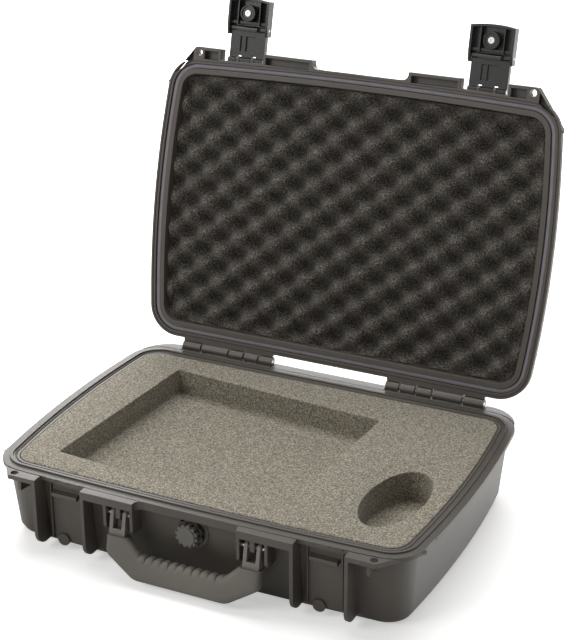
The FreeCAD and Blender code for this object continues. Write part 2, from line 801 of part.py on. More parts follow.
    # Purge valve seat
    seat = Drawing(body, "valve_seat", "XZ_Plane", at=(0, 0, case.valve_boss_back))
    seat.circle(0, case.valve_z, case.valve_boss_radius)
    tip(body, pad(body, seat, case.valve_boss_front - case.valve_boss_back))
    bore = Drawing(body, "valve_bore", "XZ_Plane", at=(0, 0, case.valve_boss_back - case.cut_overrun))
    bore.circle(0, case.valve_z, case.valve_shank_radius + case.valve_bore_play)
    tip(body, cut(body, bore, case.valve_boss_front - case.valve_boss_back + 2 * case.cut_overrun))
    # Holes: padlocks, handle pins and hinge pins
    holes = []
    lock = Drawing(body, "lock_hole", at=(0, 0, rim - case.flange_thick - case.cut_overrun))
    lock.circle(case.lock_x, -case.lock_y, case.lock_radius)
    holes.append(cut(body, lock, case.flange_thick + 2 * case.cut_overrun))
    pin_span = (case.block_inner + case.handle_pin_inset, case.ear_outer - case.handle_pin_inset)
    holes.append(bar(body, "handle_pin_hole", pin_span, pivot[0], pivot[1],
                     case.handle_pin_radius + case.press_gap, cutting=True))
    hinge_span = (inner_end - case.cut_overrun, case.hinge_outer + case.cut_overrun)
    holes.append(bar(body, "hinge_pin_hole", hinge_span, case.hinge_y, hinge_z,
                     case.hinge_pin_radius + case.press_gap, cutting=True))
    mirror(body, holes)
    return body


def lid_shell():
    """The lid: a shallow pan with hollow front blocks, latch ears, a gasket channel and hinge knuckles."""
    body = new_body("lid_shell", lid=True)
    loft(body, "walls", [
        (lid_face, lid_reach(0), case.seal_corner - case.rim_setback),
        (lid_top - case.crown_round, lid_reach(case.lid_height - case.crown_round), case.crown_corner),
        (lid_top, lid_reach(case.lid_height) - case.crown_round, case.crown_corner - case.crown_round / 2),
    ])
    flange = Drawing(body, "flange", at=(0, 0, lid_face))
    flange.case_outline(case.flange_reach, case.seal_corner + case.flange_reach)
    tip(body, pad(body, flange, case.lid_flange_thick))
    flange_front = -(case.seal_half_depth + case.front_bow + case.flange_reach)
    paired = []
    slab = Drawing(body, "slab", at=(0, 0, lid_face)).polygon([
        (case.block_inner - case.notch_radius - case.notch_radius / 2, flange_front),
        (case.block_inner, flange_front, case.notch_radius),
        (case.block_inner, front), (case.block_outer, front),
        (case.block_outer, -case.tab_root), (case.block_inner - case.notch_radius, -case.tab_root)])
    paired.append(pad(body, slab, case.lid_block_height))
    tab = Drawing(body, "lock_tab", at=(0, 0, lid_face)).polygon([
        (case.tab_inner, front), (case.tab_outer, front, case.fin_thick),
        (case.tab_side_x, -case.tab_side_y), (case.tab_inner, -case.tab_root)])
    paired.append(pad(body, tab, case.lid_block_height))
    # Ears that hold the latch pin
    for number, (low, high) in enumerate(((-case.latch_ear_far, -case.latch_ear_near),
                                          (case.latch_ear_near, case.latch_ear_far))):
        span = (latch_middle + low, latch_middle + high)
        nose = case.latch_ear_radius
        paired.append(plate(body, f"latch_ear{number}", span, [
            (latch_y + nose / 2, latch_z - nose), (-case.latch_ear_root, lid_face + case.flange_thick),
            (-case.latch_ear_root, latch_z + case.lid_block_height), (latch_y + nose / 2, latch_z + nose),
            (latch_y - nose / 2, latch_z + nose), (latch_y - nose, latch_z + nose / 2),
            (latch_y - nose, latch_z - nose / 2), (latch_y - nose / 2, latch_z - nose)]))
    # Lid hinge knuckles and the hinge plate
    edge = case.hinge_y - case.knuckle_radius - case.lid_gap
    for number, (owner, near, far) in enumerate(knuckle_places()):
        if owner != "lid":
            continue
        paired.append(barrel(body, f"knuckle{number}", (near, far), case.hinge_y, hinge_z,
                             case.knuckle_radius))
        paired.append(plate(body, f"knuckle_web{number}", (near, far), [
            (case.hinge_root, lid_face), (case.hinge_y, lid_face), (case.hinge_y, hinge_z),
            (case.hinge_y - case.knuckle_radius / 2, lid_face + case.lid_flange_thick),
            (case.hinge_root, lid_face + case.lid_flange_thick)]))
    inner_end = knuckle_places()[-1][1]
    paired.append(block(body, "hinge_plate", (inner_end, case.hinge_outer), (case.hinge_root, edge),
                        (lid_face, lid_face + case.flange_thick)))
    mirror(body, paired)
    inside_top = case.lid_height - case.wall
    loft(body, "inside", [
        (lid_face, lid_reach(0) - case.wall, case.seal_corner - case.rim_setback - case.wall),
        (rim + inside_top - case.floor_round, lid_reach(inside_top - case.floor_round) - case.wall,
         case.crown_corner - case.wall),
        (rim + inside_top, lid_reach(inside_top) - case.wall - case.floor_round,
         case.crown_corner - case.floor_round),
    ], "Subtractive")
    ring(body, "gasket_channel", lid_face - case.cut_overrun, case.channel_outer, -case.channel_inner,
         case.seal_corner, case.channel_depth + case.cut_overrun, cutting=True)
    # Hollows in the front blocks and tabs, open to the mating face
    holes = []
    low = lid_face - case.cut_overrun
    depth = case.hollow_depth + case.cut_overrun
    slab_span = (case.block_inner + case.block_wall, case.block_outer - case.block_wall)
    holes.append(block(body, "slab_hollow", slab_span,
                       (front + case.block_wall, -case.hollow_back - case.block_wall / 2),
                       (low, low + depth), cutting=True))
    boss_near = case.lock_x - case.lock_boss
    holes.append(block(body, "tab_hollow", (case.tab_inner + case.block_wall, boss_near),
                       (front + case.block_wall, -case.hollow_back), (low, low + depth), cutting=True))
    corner = Drawing(body, "corner_hollow", at=(0, 0, low)).polygon([
        (case.lock_x + case.lock_boss, -case.lock_y - case.block_wall / 2),
        (case.tab_side_x - 2 * case.block_wall, -case.tab_side_y - 3 * case.block_wall),
        (case.lock_x + case.lock_boss, -case.hollow_back + case.block_wall)])
    holes.append(cut(body, corner, depth))
    lock = Drawing(body, "lock_hole", at=(0, 0, low)).circle(case.lock_x, -case.lock_y, case.lock_radius)
    holes.append(cut(body, lock, case.lid_block_height + 2 * case.cut_overrun))
    holes.append(bar(body, "latch_pin_hole", (latch_middle - case.latch_ear_far - case.cut_overrun,
                                              latch_middle + case.latch_ear_far + case.cut_overrun),
                     latch_y, latch_z, case.latch_pin_radius + case.press_gap, cutting=True))
    hinge_span = (inner_end - case.cut_overrun, case.hinge_outer + case.cut_overrun)
    holes.append(bar(body, "hinge_pin_hole", hinge_span, case.hinge_y, hinge_z,
                     case.hinge_pin_radius + case.running_gap, cutting=True))
    mirror(body, holes)
    return body


def lid_gasket():
    body = new_body("lid_gasket", lid=True)
    low = rim + case.ridge_height + case.lid_gap
    high = lid_face + case.channel_depth
    ring(body, "band", low, case.channel_outer - case.gasket_play, case.gasket_play - case.channel_inner,
         case.seal_corner, high - low)
    return body


def hinge_pins():
    inner_end = knuckle_places()[-1][1]
    for name, side in (("left", -1), ("right", 1)):
        body = new_body(f"hinge_pin_{name}")
        low, high = (inner_end, case.hinge_outer) if side > 0 else (-case.hinge_outer, -inner_end)
        tip(body, bar(body, "pin", (low, high), case.hinge_y, hinge_z, case.hinge_pin_radius))


def lean(body):
    """Leans a handle piece out about the handle's pivot line."""
    pivot = f"vector(0; {(-case.handle_pivot_y).formula}; {case.handle_pivot_z.formula})"
    turn = f"rotation(vector(1; 0; 0); {(-case.handle_lean).formula})"
    body.setExpression("Placement", f"placement(vector(0; 0; 0); {turn}; {pivot})")


def handle_frame():
    """The rigid core: a flat U bar with a forked end on each arm."""
    body = new_body("handle_frame")
    plane = case.handle_pivot_y
    core = Drawing(body, "core", "XZ_Plane", at=(0, 0, plane - case.core_thick / 2)).polygon([
        (case.core_half_width, case.grip_top), (case.core_half_width, case.core_knee),
        (case.core_foot_half, case.core_foot), (-case.core_foot_half, case.core_foot),
        (-case.core_half_width, case.core_knee), (-case.core_half_width, case.grip_top),
        (case.core_arm_width - case.core_half_width, case.grip_top),
        (case.core_arm_width - case.core_half_width, case.core_knee + case.core_bar / 3),
        (-case.core_foot_half, case.core_foot + case.core_bar),
        (case.core_foot_half, case.core_foot + case.core_bar),
        (case.core_half_width - case.core_arm_width, case.core_knee + case.core_bar / 3),
        (case.core_half_width - case.core_arm_width, case.grip_top)])
    tip(body, pad(body, core, case.core_thick))
    pivot = (-plane, case.handle_pivot_z)
    paired = []
    neck = [(pivot[0] - case.neck_thick / 2, case.grip_top - case.core_bar / 3),
            (pivot[0] + case.neck_thick / 2, case.grip_top - case.core_bar / 3),
            (pivot[0] + case.neck_thick / 2, case.fork_slot_foot),
            (pivot[0] - case.neck_thick / 2, case.fork_slot_foot)]
    paired.append(plate(body, "neck", (case.fork_inner, case.fork_outer), neck))
    eye, nose = case.prong_radius, case.prong_radius / 2
    prong = [(pivot[0] - case.neck_thick / 2, case.fork_slot_foot - case.core_thick),
             (pivot[0] + case.neck_thick / 2, case.fork_slot_foot - case.core_thick),
             (pivot[0] + eye, pivot[1] - nose), (pivot[0] + eye, pivot[1] + nose),
             (pivot[0] + nose, pivot[1] + eye), (pivot[0] - nose, pivot[1] + eye),
             (pivot[0] - eye, pivot[1] + nose), (pivot[0] - eye, pivot[1] - nose)]
    for number, near in enumerate((case.fork_inner, case.fork_outer - case.prong_thick)):
        paired.append(plate(body, f"prong{number}", (near, near + case.prong_thick), prong))
    mirror(body, paired)
    holes = [bar(body, "pin_hole", (case.block_inner, case.ear_outer), pivot[0], pivot[1],
                 case.handle_pin_radius + case.running_gap, cutting=True)]
    mirror(body, holes)
    lean(body)
    return body


def handle_grip(frame):
    """The soft grip moulded round the core, with finger ribs inside the bow."""
    outer = doc.addObject("PartDesign::Body", "grip_outer")
    plane = case.handle_pivot_y - case.grip_thick / 2
    bow = Drawing(outer, "bow", "XZ_Plane", at=(0, 0, plane)).polygon([
        (case.grip_half_width, case.grip_top), (case.grip_half_width, case.grip_knee + case.grip_edge),
        (case.grip_half_width - case.grip_edge / 2, case.grip_knee - case.grip_edge),
        (case.grip_foot_half + case.grip_edge, case.grip_foot + case.grip_edge / 2),
        (case.grip_foot_half - case.grip_edge, case.grip_foot),
        (case.grip_edge - case.grip_foot_half, case.grip_foot),
        (-case.grip_foot_half - case.grip_edge, case.grip_foot + case.grip_edge / 2),
        (case.grip_edge / 2 - case.grip_half_width, case.grip_knee - case.grip_edge),
        (-case.grip_half_width, case.grip_knee + case.grip_edge), (-case.grip_half_width, case.grip_top),
        (-case.fork_inner + case.prong_thick, case.grip_top),
        (-case.grip_arm_inner, case.grip_opening_foot + case.grip_opening_round),
        (-case.grip_arm_inner + case.grip_opening_round, case.grip_opening_foot),
        (case.grip_arm_inner - case.grip_opening_round, case.grip_opening_foot),
        (case.grip_arm_inner, case.grip_opening_foot + case.grip_opening_round),
        (case.fork_inner - case.prong_thick, case.grip_top)])
    tip(outer, pad(outer, bow, case.grip_thick))
    solid = outer.Tip
    outline_edges = [f"Edge{i + 1}" for i, edge in enumerate(solid.Shape.Edges)
                     if abs(edge.BoundBox.YLength) < value_of(case.running_gap)
                     and edge.BoundBox.ZMin < value_of(case.grip_top) - value_of(case.running_gap)]
    edges = outer.newObject("PartDesign::Chamfer", "edge_bevel")
    edges.Base = (solid, outline_edges)
    bind(edges, "Size", case.grip_edge)
    edges.Size = value_of(case.grip_edge)
    tip(outer, edges)
    low, high = case.grip_opening_foot - case.rib_groove_depth, case.grip_opening_foot + case.wall
    groove = Drawing(outer, "rib_groove", "XZ_Plane", at=(0, 0, plane - case.cut_overrun)).polygon([
        (-case.rib_start, low), (-case.rib_start + case.rib_groove_width, high),
        (-case.rib_start - case.rib_groove_width, high)])
    first = cut(outer, groove, case.grip_thick + 2 * case.cut_overrun)
    tip(outer, first)
    ribs = outer.newObject("PartDesign::LinearPattern", "ribs")
    ribs.Originals = [first]
    ribs.Direction = (groove.sketch, ["H_Axis"])
    bind(ribs, "Length", 2 * case.rib_start)
    bind(ribs, "Occurrences", case.rib_count)
    ribs.Length = 2 * value_of(case.rib_start)
    ribs.Occurrences = int(value_of(case.rib_count))
    tip(outer, ribs)
    lean(outer)
    grip = doc.addObject("Part::Cut", "handle_grip")
    grip.Base = outer
    grip.Tool = frame
    grip.Label = "handle_grip"
    PIECES.append(grip)
    return grip


def handle_pins():
    for name, side in (("left", -1), ("right", 1)):
        body = new_body(f"handle_pin_{name}")
        near, far = case.block_inner + case.handle_pin_inset, case.ear_outer - case.handle_pin_inset
        low, high = (near, far) if side > 0 else (-far, -near)
        tip(body, bar(body, "pin", (low, high), -case.handle_pivot_y, case.handle_pivot_z,
                      case.handle_pin_radius))


def purge_valve():
    """The valve: a lobed housing through the front wall, the knob on it, seal, nut and membrane."""
    centre = (0, case.valve_z, 0)
    seat = -case.valve_boss_front
    body = new_body("purge_valve_body")
    face = seat - case.valve_flange_thick
    stem_end = face - case.knob_thick - case.knob_gap + 2 * case.running_gap
    back = -case.valve_boss_back + case.valve_nut_thick + case.wall / 2
    revolve(body, "shank", [
        (stem_end, case.valve_bore_radius), (stem_end, case.valve_neck_radius),
        (face, case.valve_neck_radius), (face, case.valve_shank_radius),
        (back, case.valve_shank_radius), (back, case.valve_bore_radius)], centre)
    seal_front = case.valve_boss_front + case.seal_thick
    flange = Drawing(body, "flange", "XZ_Plane", at=(0, case.valve_z, seal_front))
    valley = case.valve_flange_radius - case.valve_lobe_depth
    rise, fall = SHARES["lobe_rise_share"], SHARES["lobe_fall_share"]
    lobe = [(0, valley), (rise, case.valve_flange_radius), (fall, case.valve_flange_radius)]
    flange.polygon(around(0, 0, lobe, case.valve_lobe_count))
    flange.circle(0, 0, (case.valve_shank_radius + case.valve_neck_radius) / 2)
    tip(body, pad(body, flange, case.valve_flange_thick - case.seal_thick))
    knob = new_body("purge_valve_knob")
    knob_back = case.valve_boss_front + case.valve_flange_thick + case.knob_gap
    root = case.knob_radius - case.knob_tooth_depth
    disc = Drawing(knob, "disc", "XZ_Plane", at=(0, case.valve_z, knob_back))
    disc.polygon(around(0, 0, [(0, root), (SHARES["tooth_root_share"], root),
                               (SHARES["tooth_rise_share"], case.knob_radius),
                               (SHARES["tooth_fall_share"], case.knob_radius)], case.knob_tooth_count))
    disc.circle(0, 0, case.valve_neck_radius + case.running_gap)
    tip(knob, pad(knob, disc, case.knob_thick))
    cap = Drawing(knob, "cap", "XZ_Plane", at=(0, case.valve_z, knob_back + case.knob_thick))
    cap.regular(0, 0, root - case.knob_tooth_depth / 2, case.small_round_sides)
    tip(knob, pad(knob, cap, case.knob_cap_thick))
    seal = new_body("purge_valve_seal")
    washer = Drawing(seal, "washer", "XZ_Plane", at=(0, case.valve_z, case.valve_boss_front))
    washer.regular(0, 0, case.valve_flange_radius - case.seal_inset, case.small_round_sides)
    washer.regular(0, 0, case.valve_shank_radius + case.seal_play, case.small_round_sides)
    tip(seal, pad(seal, washer, case.seal_thick))
    nut = new_body("purge_valve_nut")
    nut_end = case.valve_boss_back - case.valve_nut_thick
    hexagon = Drawing(nut, "hexagon", "XZ_Plane", at=(0, case.valve_z, nut_end))
    hexagon.regular(0, 0, case.valve_nut_radius, case.nut_sides)
    hexagon.circle(0, 0, case.valve_shank_radius + case.running_gap)
    tip(nut, pad(nut, hexagon, case.valve_nut_thick))
    membrane = new_body("purge_valve_membrane")
    sheet = Drawing(membrane, "sheet", "XZ_Plane", at=(0, case.valve_z, -(back + case.membrane_thick)))
    sheet.regular(0, 0, case.valve_shank_radius, case.small_round_sides)
    tip(membrane, pad(membrane, sheet, case.membrane_thick))


def latch(name, side):
    """One latch, flipped out from the lid: link, cover, button, spring, screw and two pins."""
    middle = latch_middle * side

    def across(low, high):
        return (middle + low, middle + high)

    pin = new_body(f"latch_link_pin_{name}", lid=True)
    tip(pin, bar(pin, "pin", across(-case.link_half_width, case.link_half_width), latch_y, latch_z,
                 case.latch_pin_radius))
    link = new_body(f"latch_link_{name}", lid=True)
    low, high = latch_z + case.link_plate_low, latch_z + case.link_plate_high
    end = latch_y - case.link_plate_end
    pivot = (latch_y - case.cover_pin_run, latch_z + case.cover_pin_rise)
    barrel_out, nose = case.link_knuckle_radius, case.link_knuckle_radius / 2
    tail, bevel = case.cover_knuckle_radius, case.cover_knuckle_radius / 2
    tip(link, plate(link, "plate", across(-case.link_half_width, case.link_half_width), [
        (latch_y + barrel_out, latch_z - nose), (latch_y + barrel_out, latch_z + nose),
        (latch_y + nose, high), (end + case.cover_wall, high),
        (end, high - case.link_arm_step), (pivot[0] - bevel, high - case.link_arm_step),
        (pivot[0] - tail, pivot[1] + bevel), (pivot[0] - tail, pivot[1] - bevel),
        (pivot[0] - bevel, pivot[1] - tail), (pivot[0] + bevel, pivot[1] - tail),
        (pivot[0] + tail, low), (latch_y - barrel_out, low),
        (latch_y - nose, latch_z - barrel_out), (latch_y + nose, latch_z - barrel_out)]))
    start, stop, crest = latch_y - case.link_window_end, end + case.cover_wall, high + case.link_rail_rise
    rail = [(start, high), (start, crest), (stop, crest), (stop, high)]
    for number, near in enumerate((-case.link_half_width, case.link_half_width - case.link_rail_width)):
        tip(link, plate(link, f"rail{number}", across(near, near + case.link_rail_width), rail))
    tip(link, plate(link, "hook", across(-case.hook_half_width, case.hook_half_width), [
        (latch_y - case.hook_near, pivot[1]), (latch_y - case.hook_near, latch_z - case.hook_reach),
        (latch_y - case.hook_far, latch_z - case.hook_reach, case.cover_pin_radius),
        (latch_y - case.hook_far, pivot[1])]))
    for number, (near, far) in enumerate(((-case.latch_ear_far, -case.latch_ear_near),
                                          (case.latch_ear_near, case.latch_ear_far))):
        window = across(near - case.link_play, far + case.link_play)
        tip(link, block(link, f"window{number}", window,
                        (latch_y - case.link_window_end, latch_y + case.link_window_end),
                        (latch_z - case.link_window_end, latch_z + case.link_window_end + case.link_play),
                        cutting=True))
    channel = Drawing(link, "channel", at=(0, 0, low)).box(
        *across(-case.link_channel_half, case.link_channel_half),
        latch_y - case.link_channel_end, latch_y - case.link_channel_start)
    tip(link, cut(link, channel, case.link_channel_depth))
    rib = Drawing(link, "channel_rib", at=(0, 0, low)).box(
        *across(-case.link_channel_rib / 2 - case.link_channel_half / 3,
                case.link_channel_rib / 2 - case.link_channel_half / 3),
        latch_y - case.link_channel_end, latch_y - case.link_channel_start)
    tip(link, pad(link, rib, case.link_channel_depth))
    tip(link, bar(link, "pin_hole", across(-case.cover_half_width, case.cover_half_width), latch_y, latch_z,
                  case.latch_pin_radius + case.running_gap, cutting=True))
    tip(link, bar(link, "cover_pin_hole", across(-case.cover_half_width, case.cover_half_width), pivot[0],
                  pivot[1], case.cover_pin_radius + case.press_gap, cutting=True))
    cover_pin = new_body(f"latch_cover_pin_{name}", lid=True)
    tip(cover_pin, bar(cover_pin, "pin", across(-case.cover_half_width, case.cover_half_width),
                       pivot[0], pivot[1], case.cover_pin_radius))
    latch_cover(name, middle, across, pivot)
    latch_button(name, middle)


def latch_cover(name, middle, across, pivot):
    """The outer lever: a dished cover with side walls, an arched tip and the button's cup."""
    cover = new_body(f"latch_cover_{name}", lid=True)
    low, high = latch_z - case.cover_low, latch_z + case.cover_high
    plate_low = latch_z + case.cover_plate_low
    tip_y = latch_y - case.cover_tip
    half, inner = case.cover_half_width, case.cover_half_width - case.cover_wall
    steps = SHARES["tip_bow_steps"]
    shares = [2 * step / steps - 1 for step in range(steps + 1)]
    bow = [(middle + half * share, tip_y - case.cover_tip_bow * (1 - share * share)) for share in shares]
    top = Drawing(cover, "top", at=(0, 0, plate_low)).polygon(
        [(middle - half, pivot[0])] + bow + [(middle + half, pivot[0])])
    tip(cover, pad(cover, top, high - plate_low))
    wing = latch_y - case.cover_wing_start
    wall = [(wing, low + case.cover_low), (wing, high), (tip_y, high), (tip_y, low),
            (latch_y - case.cover_shoulder, low), (wing, low + case.cover_low / 2)]
    for number, span in enumerate(((-half, -inner), (inner, half))):
        tip(cover, plate(cover, f"side{number}", across(*span), wall))
    end = Drawing(cover, "tip_wall", at=(0, 0, low)).polygon(
        bow + [(x, y + case.cover_wall) for x, y in reversed(bow)])
    tip(cover, pad(cover, end, plate_low - low))
    bar_y = latch_y - case.cover_shoulder
    tip(cover, plate(cover, "cross_bar", across(-inner, inner), [
        (bar_y, plate_low), (bar_y, latch_z), (bar_y - case.cover_bar, latch_z),
        (bar_y - case.cover_bar, plate_low)]))
    button_y = latch_y - case.button_run
    cup = Drawing(cover, "cup", at=(0, 0, low)).regular(middle, button_y, case.button_cup_radius,
                                                        case.small_round_sides)
    tip(cover, pad(cover, cup, plate_low - low))
    bore = Drawing(cover, "cup_bore", at=(0, 0, low + case.button_cup_floor))
    bore.circle(middle, button_y, case.button_cup_bore + case.button_play)
    tip(cover, cut(cover, bore, high - low))
    hole = Drawing(cover, "screw_hole", at=(0, 0, low - case.cut_overrun))
    hole.regular(middle, button_y, case.button_screw_radius + 2 * case.button_play, case.small_screw_sides)
    tip(cover, cut(cover, hole, high - low))
    tip(cover, bar(cover, "pin_hole", across(-half - case.cut_overrun, half + case.cut_overrun),
                   pivot[0], pivot[1], case.cover_pin_radius + case.running_gap, cutting=True))


def latch_button(name, middle):
    """The push button with the screw that holds it in its cup, and the ring spring under it."""
    button_y = latch_y - case.button_run
    low = latch_z - case.cover_low
    button_top = latch_z + case.cover_high + case.button_proud
    button_foot = button_top - case.button_length
    button = new_body(f"latch_button_{name}", lid=True)
    disc = Drawing(button, "disc", at=(0, 0, button_foot)).circle(middle, button_y, case.button_cup_bore)
    tip(button, pad(button, disc, case.button_length))
    socket = Drawing(button, "socket", at=(0, 0, button_foot - case.cut_overrun))
    socket.regular(middle, button_y, case.button_screw_radius + case.press_gap, case.small_screw_sides)
    tip(button, cut(button, socket, case.cut_overrun + case.button_screw_grip))
    screw = new_body(f"latch_button_screw_{name}", lid=True)
    head_top = low - case.link_play / 2
    shank = Drawing(screw, "shank", at=(0, 0, head_top)).regular(middle, button_y, case.button_screw_radius,
                                                                 case.small_screw_sides)
    tip(screw, pad(screw, shank, button_foot + case.button_screw_grip - head_top))
    head = Drawing(screw, "head", at=(0, 0, head_top - case.button_screw_thick))
    head.regular(middle, button_y, case.button_screw_head, case.small_round_sides)
    tip(screw, pad(screw, head, case.button_screw_thick))
    spring = new_body(f"latch_button_spring_{name}", lid=True)
    floor = low + case.button_cup_floor
    coil = Drawing(spring, "coil", at=(0, 0, floor))
    coil.regular(middle, button_y, case.spring_radius, case.small_screw_sides)
    coil.regular(middle, button_y, case.spring_radius - case.spring_wall, case.small_screw_sides)
    tip(spring, pad(spring, coil, case.spring_height))


def base_foam_pad():
    body = new_body("base_foam_pad")
    low = case.floor_thick + case.foam_play
    bend = case.floor_thick + case.floor_round
    high = case.floor_thick + case.pad_thick
    play = case.wall + case.foam_play
    loft(body, "sheet", [
        (low, base_reach(low) - play - case.floor_round,
         case.foot_corner - case.floor_round - case.foam_play),
        (bend, base_reach(bend) - play, base_corner(bend) - play),
        (high, base_reach(high) - play, base_corner(high) - play),
    ])
    return body


def base_foam():
    """The thick foam under the rim's lip, cut out for the things that it holds."""
    body = new_body("base_foam")
    low = case.floor_thick + case.pad_thick + case.foam_play
    shoulder = rim - case.flange_thick - case.foam_play
    high = rim + case.foam_proud
    play = case.wall + case.foam_play
    loft(body, "foam", [
        (low, base_reach(low) - play, base_corner(low) - play),
        (shoulder, base_reach(shoulder) - play, base_corner(shoulder) - play),
    ])
    mouth = Drawing(body, "mouth", at=(0, 0, shoulder))
    mouth.case_outline(-case.rim_setback - play, case.seal_corner - case.rim_setback - play)
    tip(body, pad(body, mouth, high - shoulder))
    pocket = Drawing(body, "pocket", at=(case.pocket_x, case.pocket_y, high - case.pocket_deep),
                     turn=case.pocket_turn)
    half_x, half_y, corner = case.pocket_width / 2, case.pocket_depth_y / 2, case.pocket_corner
    pocket.polygon([(-half_x, -half_y, corner), (half_x, -half_y, corner), (half_x, half_y, corner),
                    (-half_x, half_y, corner)])
    tip(body, cut(body, pocket, case.pocket_deep + case.cut_overrun))
    oval = Drawing(body, "oval", at=(case.oval_x, case.oval_y, high - case.oval_deep), turn=case.oval_turn)
    oval.oval(case.oval_length, case.oval_width)
    tip(body, cut(body, oval, case.oval_deep + case.cut_overrun))
    relief = Drawing(body, "valve_relief", "XZ_Plane", at=(0, 0, case.relief_back))
    relief.box(-case.relief_half, case.relief_half, case.relief_low, case.relief_high)
    tip(body, cut(body, relief, case.front_plane - case.relief_back))
    return body


def lid_foam():
    """Convoluted foam: two crossing sets of ridges leave a field of peaks."""
    blank = doc.addObject("PartDesign::Body", "lid_foam_blank")
    inside_top = case.lid_height - case.wall
    play = case.wall + case.foam_play
    high = rim + inside_top - case.foam_play
    bend = inside_top - case.floor_round
    loft(blank, "blank", [
        (rim + case.lid_foam_tip, lid_reach(case.lid_foam_tip) - play,
         case.seal_corner - case.rim_setback - play),
        (rim + bend, lid_reach(bend) - play, case.crown_corner - play),
        (high, lid_reach(inside_top) - play - case.floor_round, case.crown_corner - case.floor_round),
    ])
    pitch_x, pitch_y = value_of(case.crate_pitch_x), value_of(case.crate_pitch_y)
    diagonal = math.hypot(pitch_x / 2, pitch_y)
    period = pitch_x * pitch_y / diagonal
    reach = value_of(case.seal_half_width) + value_of(case.seal_half_depth)
    tip_z, root_z = value_of(rim + case.lid_foam_tip), value_of(rim + case.lid_foam_tip + case.crate_relief)
    top_z = value_of(high + case.cut_overrun)
    count = int(reach / period) + 1
    fields = []
    for number, side in enumerate((1, -1)):
        points = [FreeCAD.Vector(-count * period, -reach, top_z)]
        for step in range(-2 * count, 2 * count + 1):
            height = tip_z if step % 2 == 0 else root_z
            points.append(FreeCAD.Vector(step * period / 2, -reach, height))
        points += [FreeCAD.Vector(count * period, -reach, top_z), points[0]]
        face = Part.Face(Part.makePolygon(points))
        field = doc.addObject("Part::Feature", f"crate_ridges{number}")
        field.Shape = face.extrude(FreeCAD.Vector(0, 2 * reach, 0))
        turn = math.degrees(math.atan2(pitch_x / 2, pitch_y)) * side
        spin = FreeCAD.Rotation(FreeCAD.Vector(0, 0, 1), turn)
        field.Placement = FreeCAD.Placement(FreeCAD.Vector(0, 0, 0), spin)
        fields.append(field)
    foam = doc.addObject("Part::MultiCommon", "lid_foam")
    foam.Shapes = [blank] + fields
    foam.Label = "lid_foam"
    hinge = f"vector(0; {case.hinge_y.formula}; {hinge_z.formula})"
    turn = f"rotation(vector(1; 0; 0); {(-case.lid_open_angle).formula})"
    foam.setExpression("Placement", f"placement(vector(0; 0; 0); {turn}; {hinge})")
    PIECES.append(foam)
    return foam


base_shell()
lid_shell()
lid_gasket()
hinge_pins()
handle_grip(handle_frame())
handle_pins()
purge_valve()
for latch_name, latch_side in (("left", -1), ("right", 1)):
    latch(latch_name, latch_side)
base_foam_pad()
base_foam()
lid_foam()
doc.recompute()

faults = [f"{item.Name}: {item.State}" for item in doc.Objects
          if "Invalid" in item.State or "Error" in item.State]
for piece in PIECES:
    shape = piece.Shape
    if shape.isNull() or not shape.isValid() or not shape.Solids:
        faults.append(f"{piece.Label}: bad shape")
if faults:
    sys.exit("Not written. " + "; ".join(faults))

os.makedirs("parts", exist_ok=True)
for piece in PIECES:
    piece.Shape.exportStep(f"parts/{piece.Label}.step")
    box = piece.Shape.BoundBox
    print(f"{piece.Label}: {len(piece.Shape.Solids)} solid, {piece.Shape.Volume / 1000:.2f} cm3, "
          f"x {box.XMin:.1f}..{box.XMax:.1f}, y {box.YMin:.1f}..{box.YMax:.1f}, "
          f"z {box.ZMin:.1f}..{box.ZMax:.1f}")
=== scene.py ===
import json
import math

import bmesh
import bpy
import numpy as np
from mathutils import Matrix, Vector

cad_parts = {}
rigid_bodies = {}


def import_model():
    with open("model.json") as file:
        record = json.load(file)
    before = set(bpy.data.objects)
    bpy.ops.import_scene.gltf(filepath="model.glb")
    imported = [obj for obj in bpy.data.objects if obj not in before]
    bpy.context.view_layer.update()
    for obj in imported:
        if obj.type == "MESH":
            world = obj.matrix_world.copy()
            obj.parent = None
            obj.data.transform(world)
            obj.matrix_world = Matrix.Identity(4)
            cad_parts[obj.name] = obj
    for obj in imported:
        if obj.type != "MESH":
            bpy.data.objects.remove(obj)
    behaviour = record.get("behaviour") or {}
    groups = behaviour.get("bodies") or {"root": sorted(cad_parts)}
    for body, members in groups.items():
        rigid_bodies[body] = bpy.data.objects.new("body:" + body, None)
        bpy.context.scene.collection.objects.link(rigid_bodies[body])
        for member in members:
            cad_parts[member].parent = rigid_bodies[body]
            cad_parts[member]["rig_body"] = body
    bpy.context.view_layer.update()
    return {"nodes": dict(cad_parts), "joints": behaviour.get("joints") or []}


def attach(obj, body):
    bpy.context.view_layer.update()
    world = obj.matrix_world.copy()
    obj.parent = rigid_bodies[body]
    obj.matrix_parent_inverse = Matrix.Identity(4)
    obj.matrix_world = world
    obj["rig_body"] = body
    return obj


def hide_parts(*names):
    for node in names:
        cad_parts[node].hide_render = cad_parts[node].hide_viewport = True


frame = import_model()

bpy.context.scene.view_settings.view_transform = "Standard"


# The camera stands to the right of the case's front and looks down on it, as a product
# photographer's long lens does. Its axes come from its line of sight and the way that is up to it.
sight = Vector((-0.39454, 0.82497, -0.40468)).normalized()
upward = Vector((-0.17019, 0.36718, 0.91445)).normalized()
rightward = sight.cross(upward).normalized()
upward = rightward.cross(sight)
camera = bpy.data.objects.new("camera", bpy.data.cameras.new("camera"))
camera.data.lens = 96.07
camera.data.sensor_width = 36.0
camera.data.clip_end = 30.0
stand = Matrix((rightward, upward, -sight)).transposed().to_4x4()
stand.translation = (0.716133, -1.448099, 0.940789)
camera.matrix_world = stand
bpy.context.scene.collection.objects.link(camera)
bpy.context.scene.camera = camera


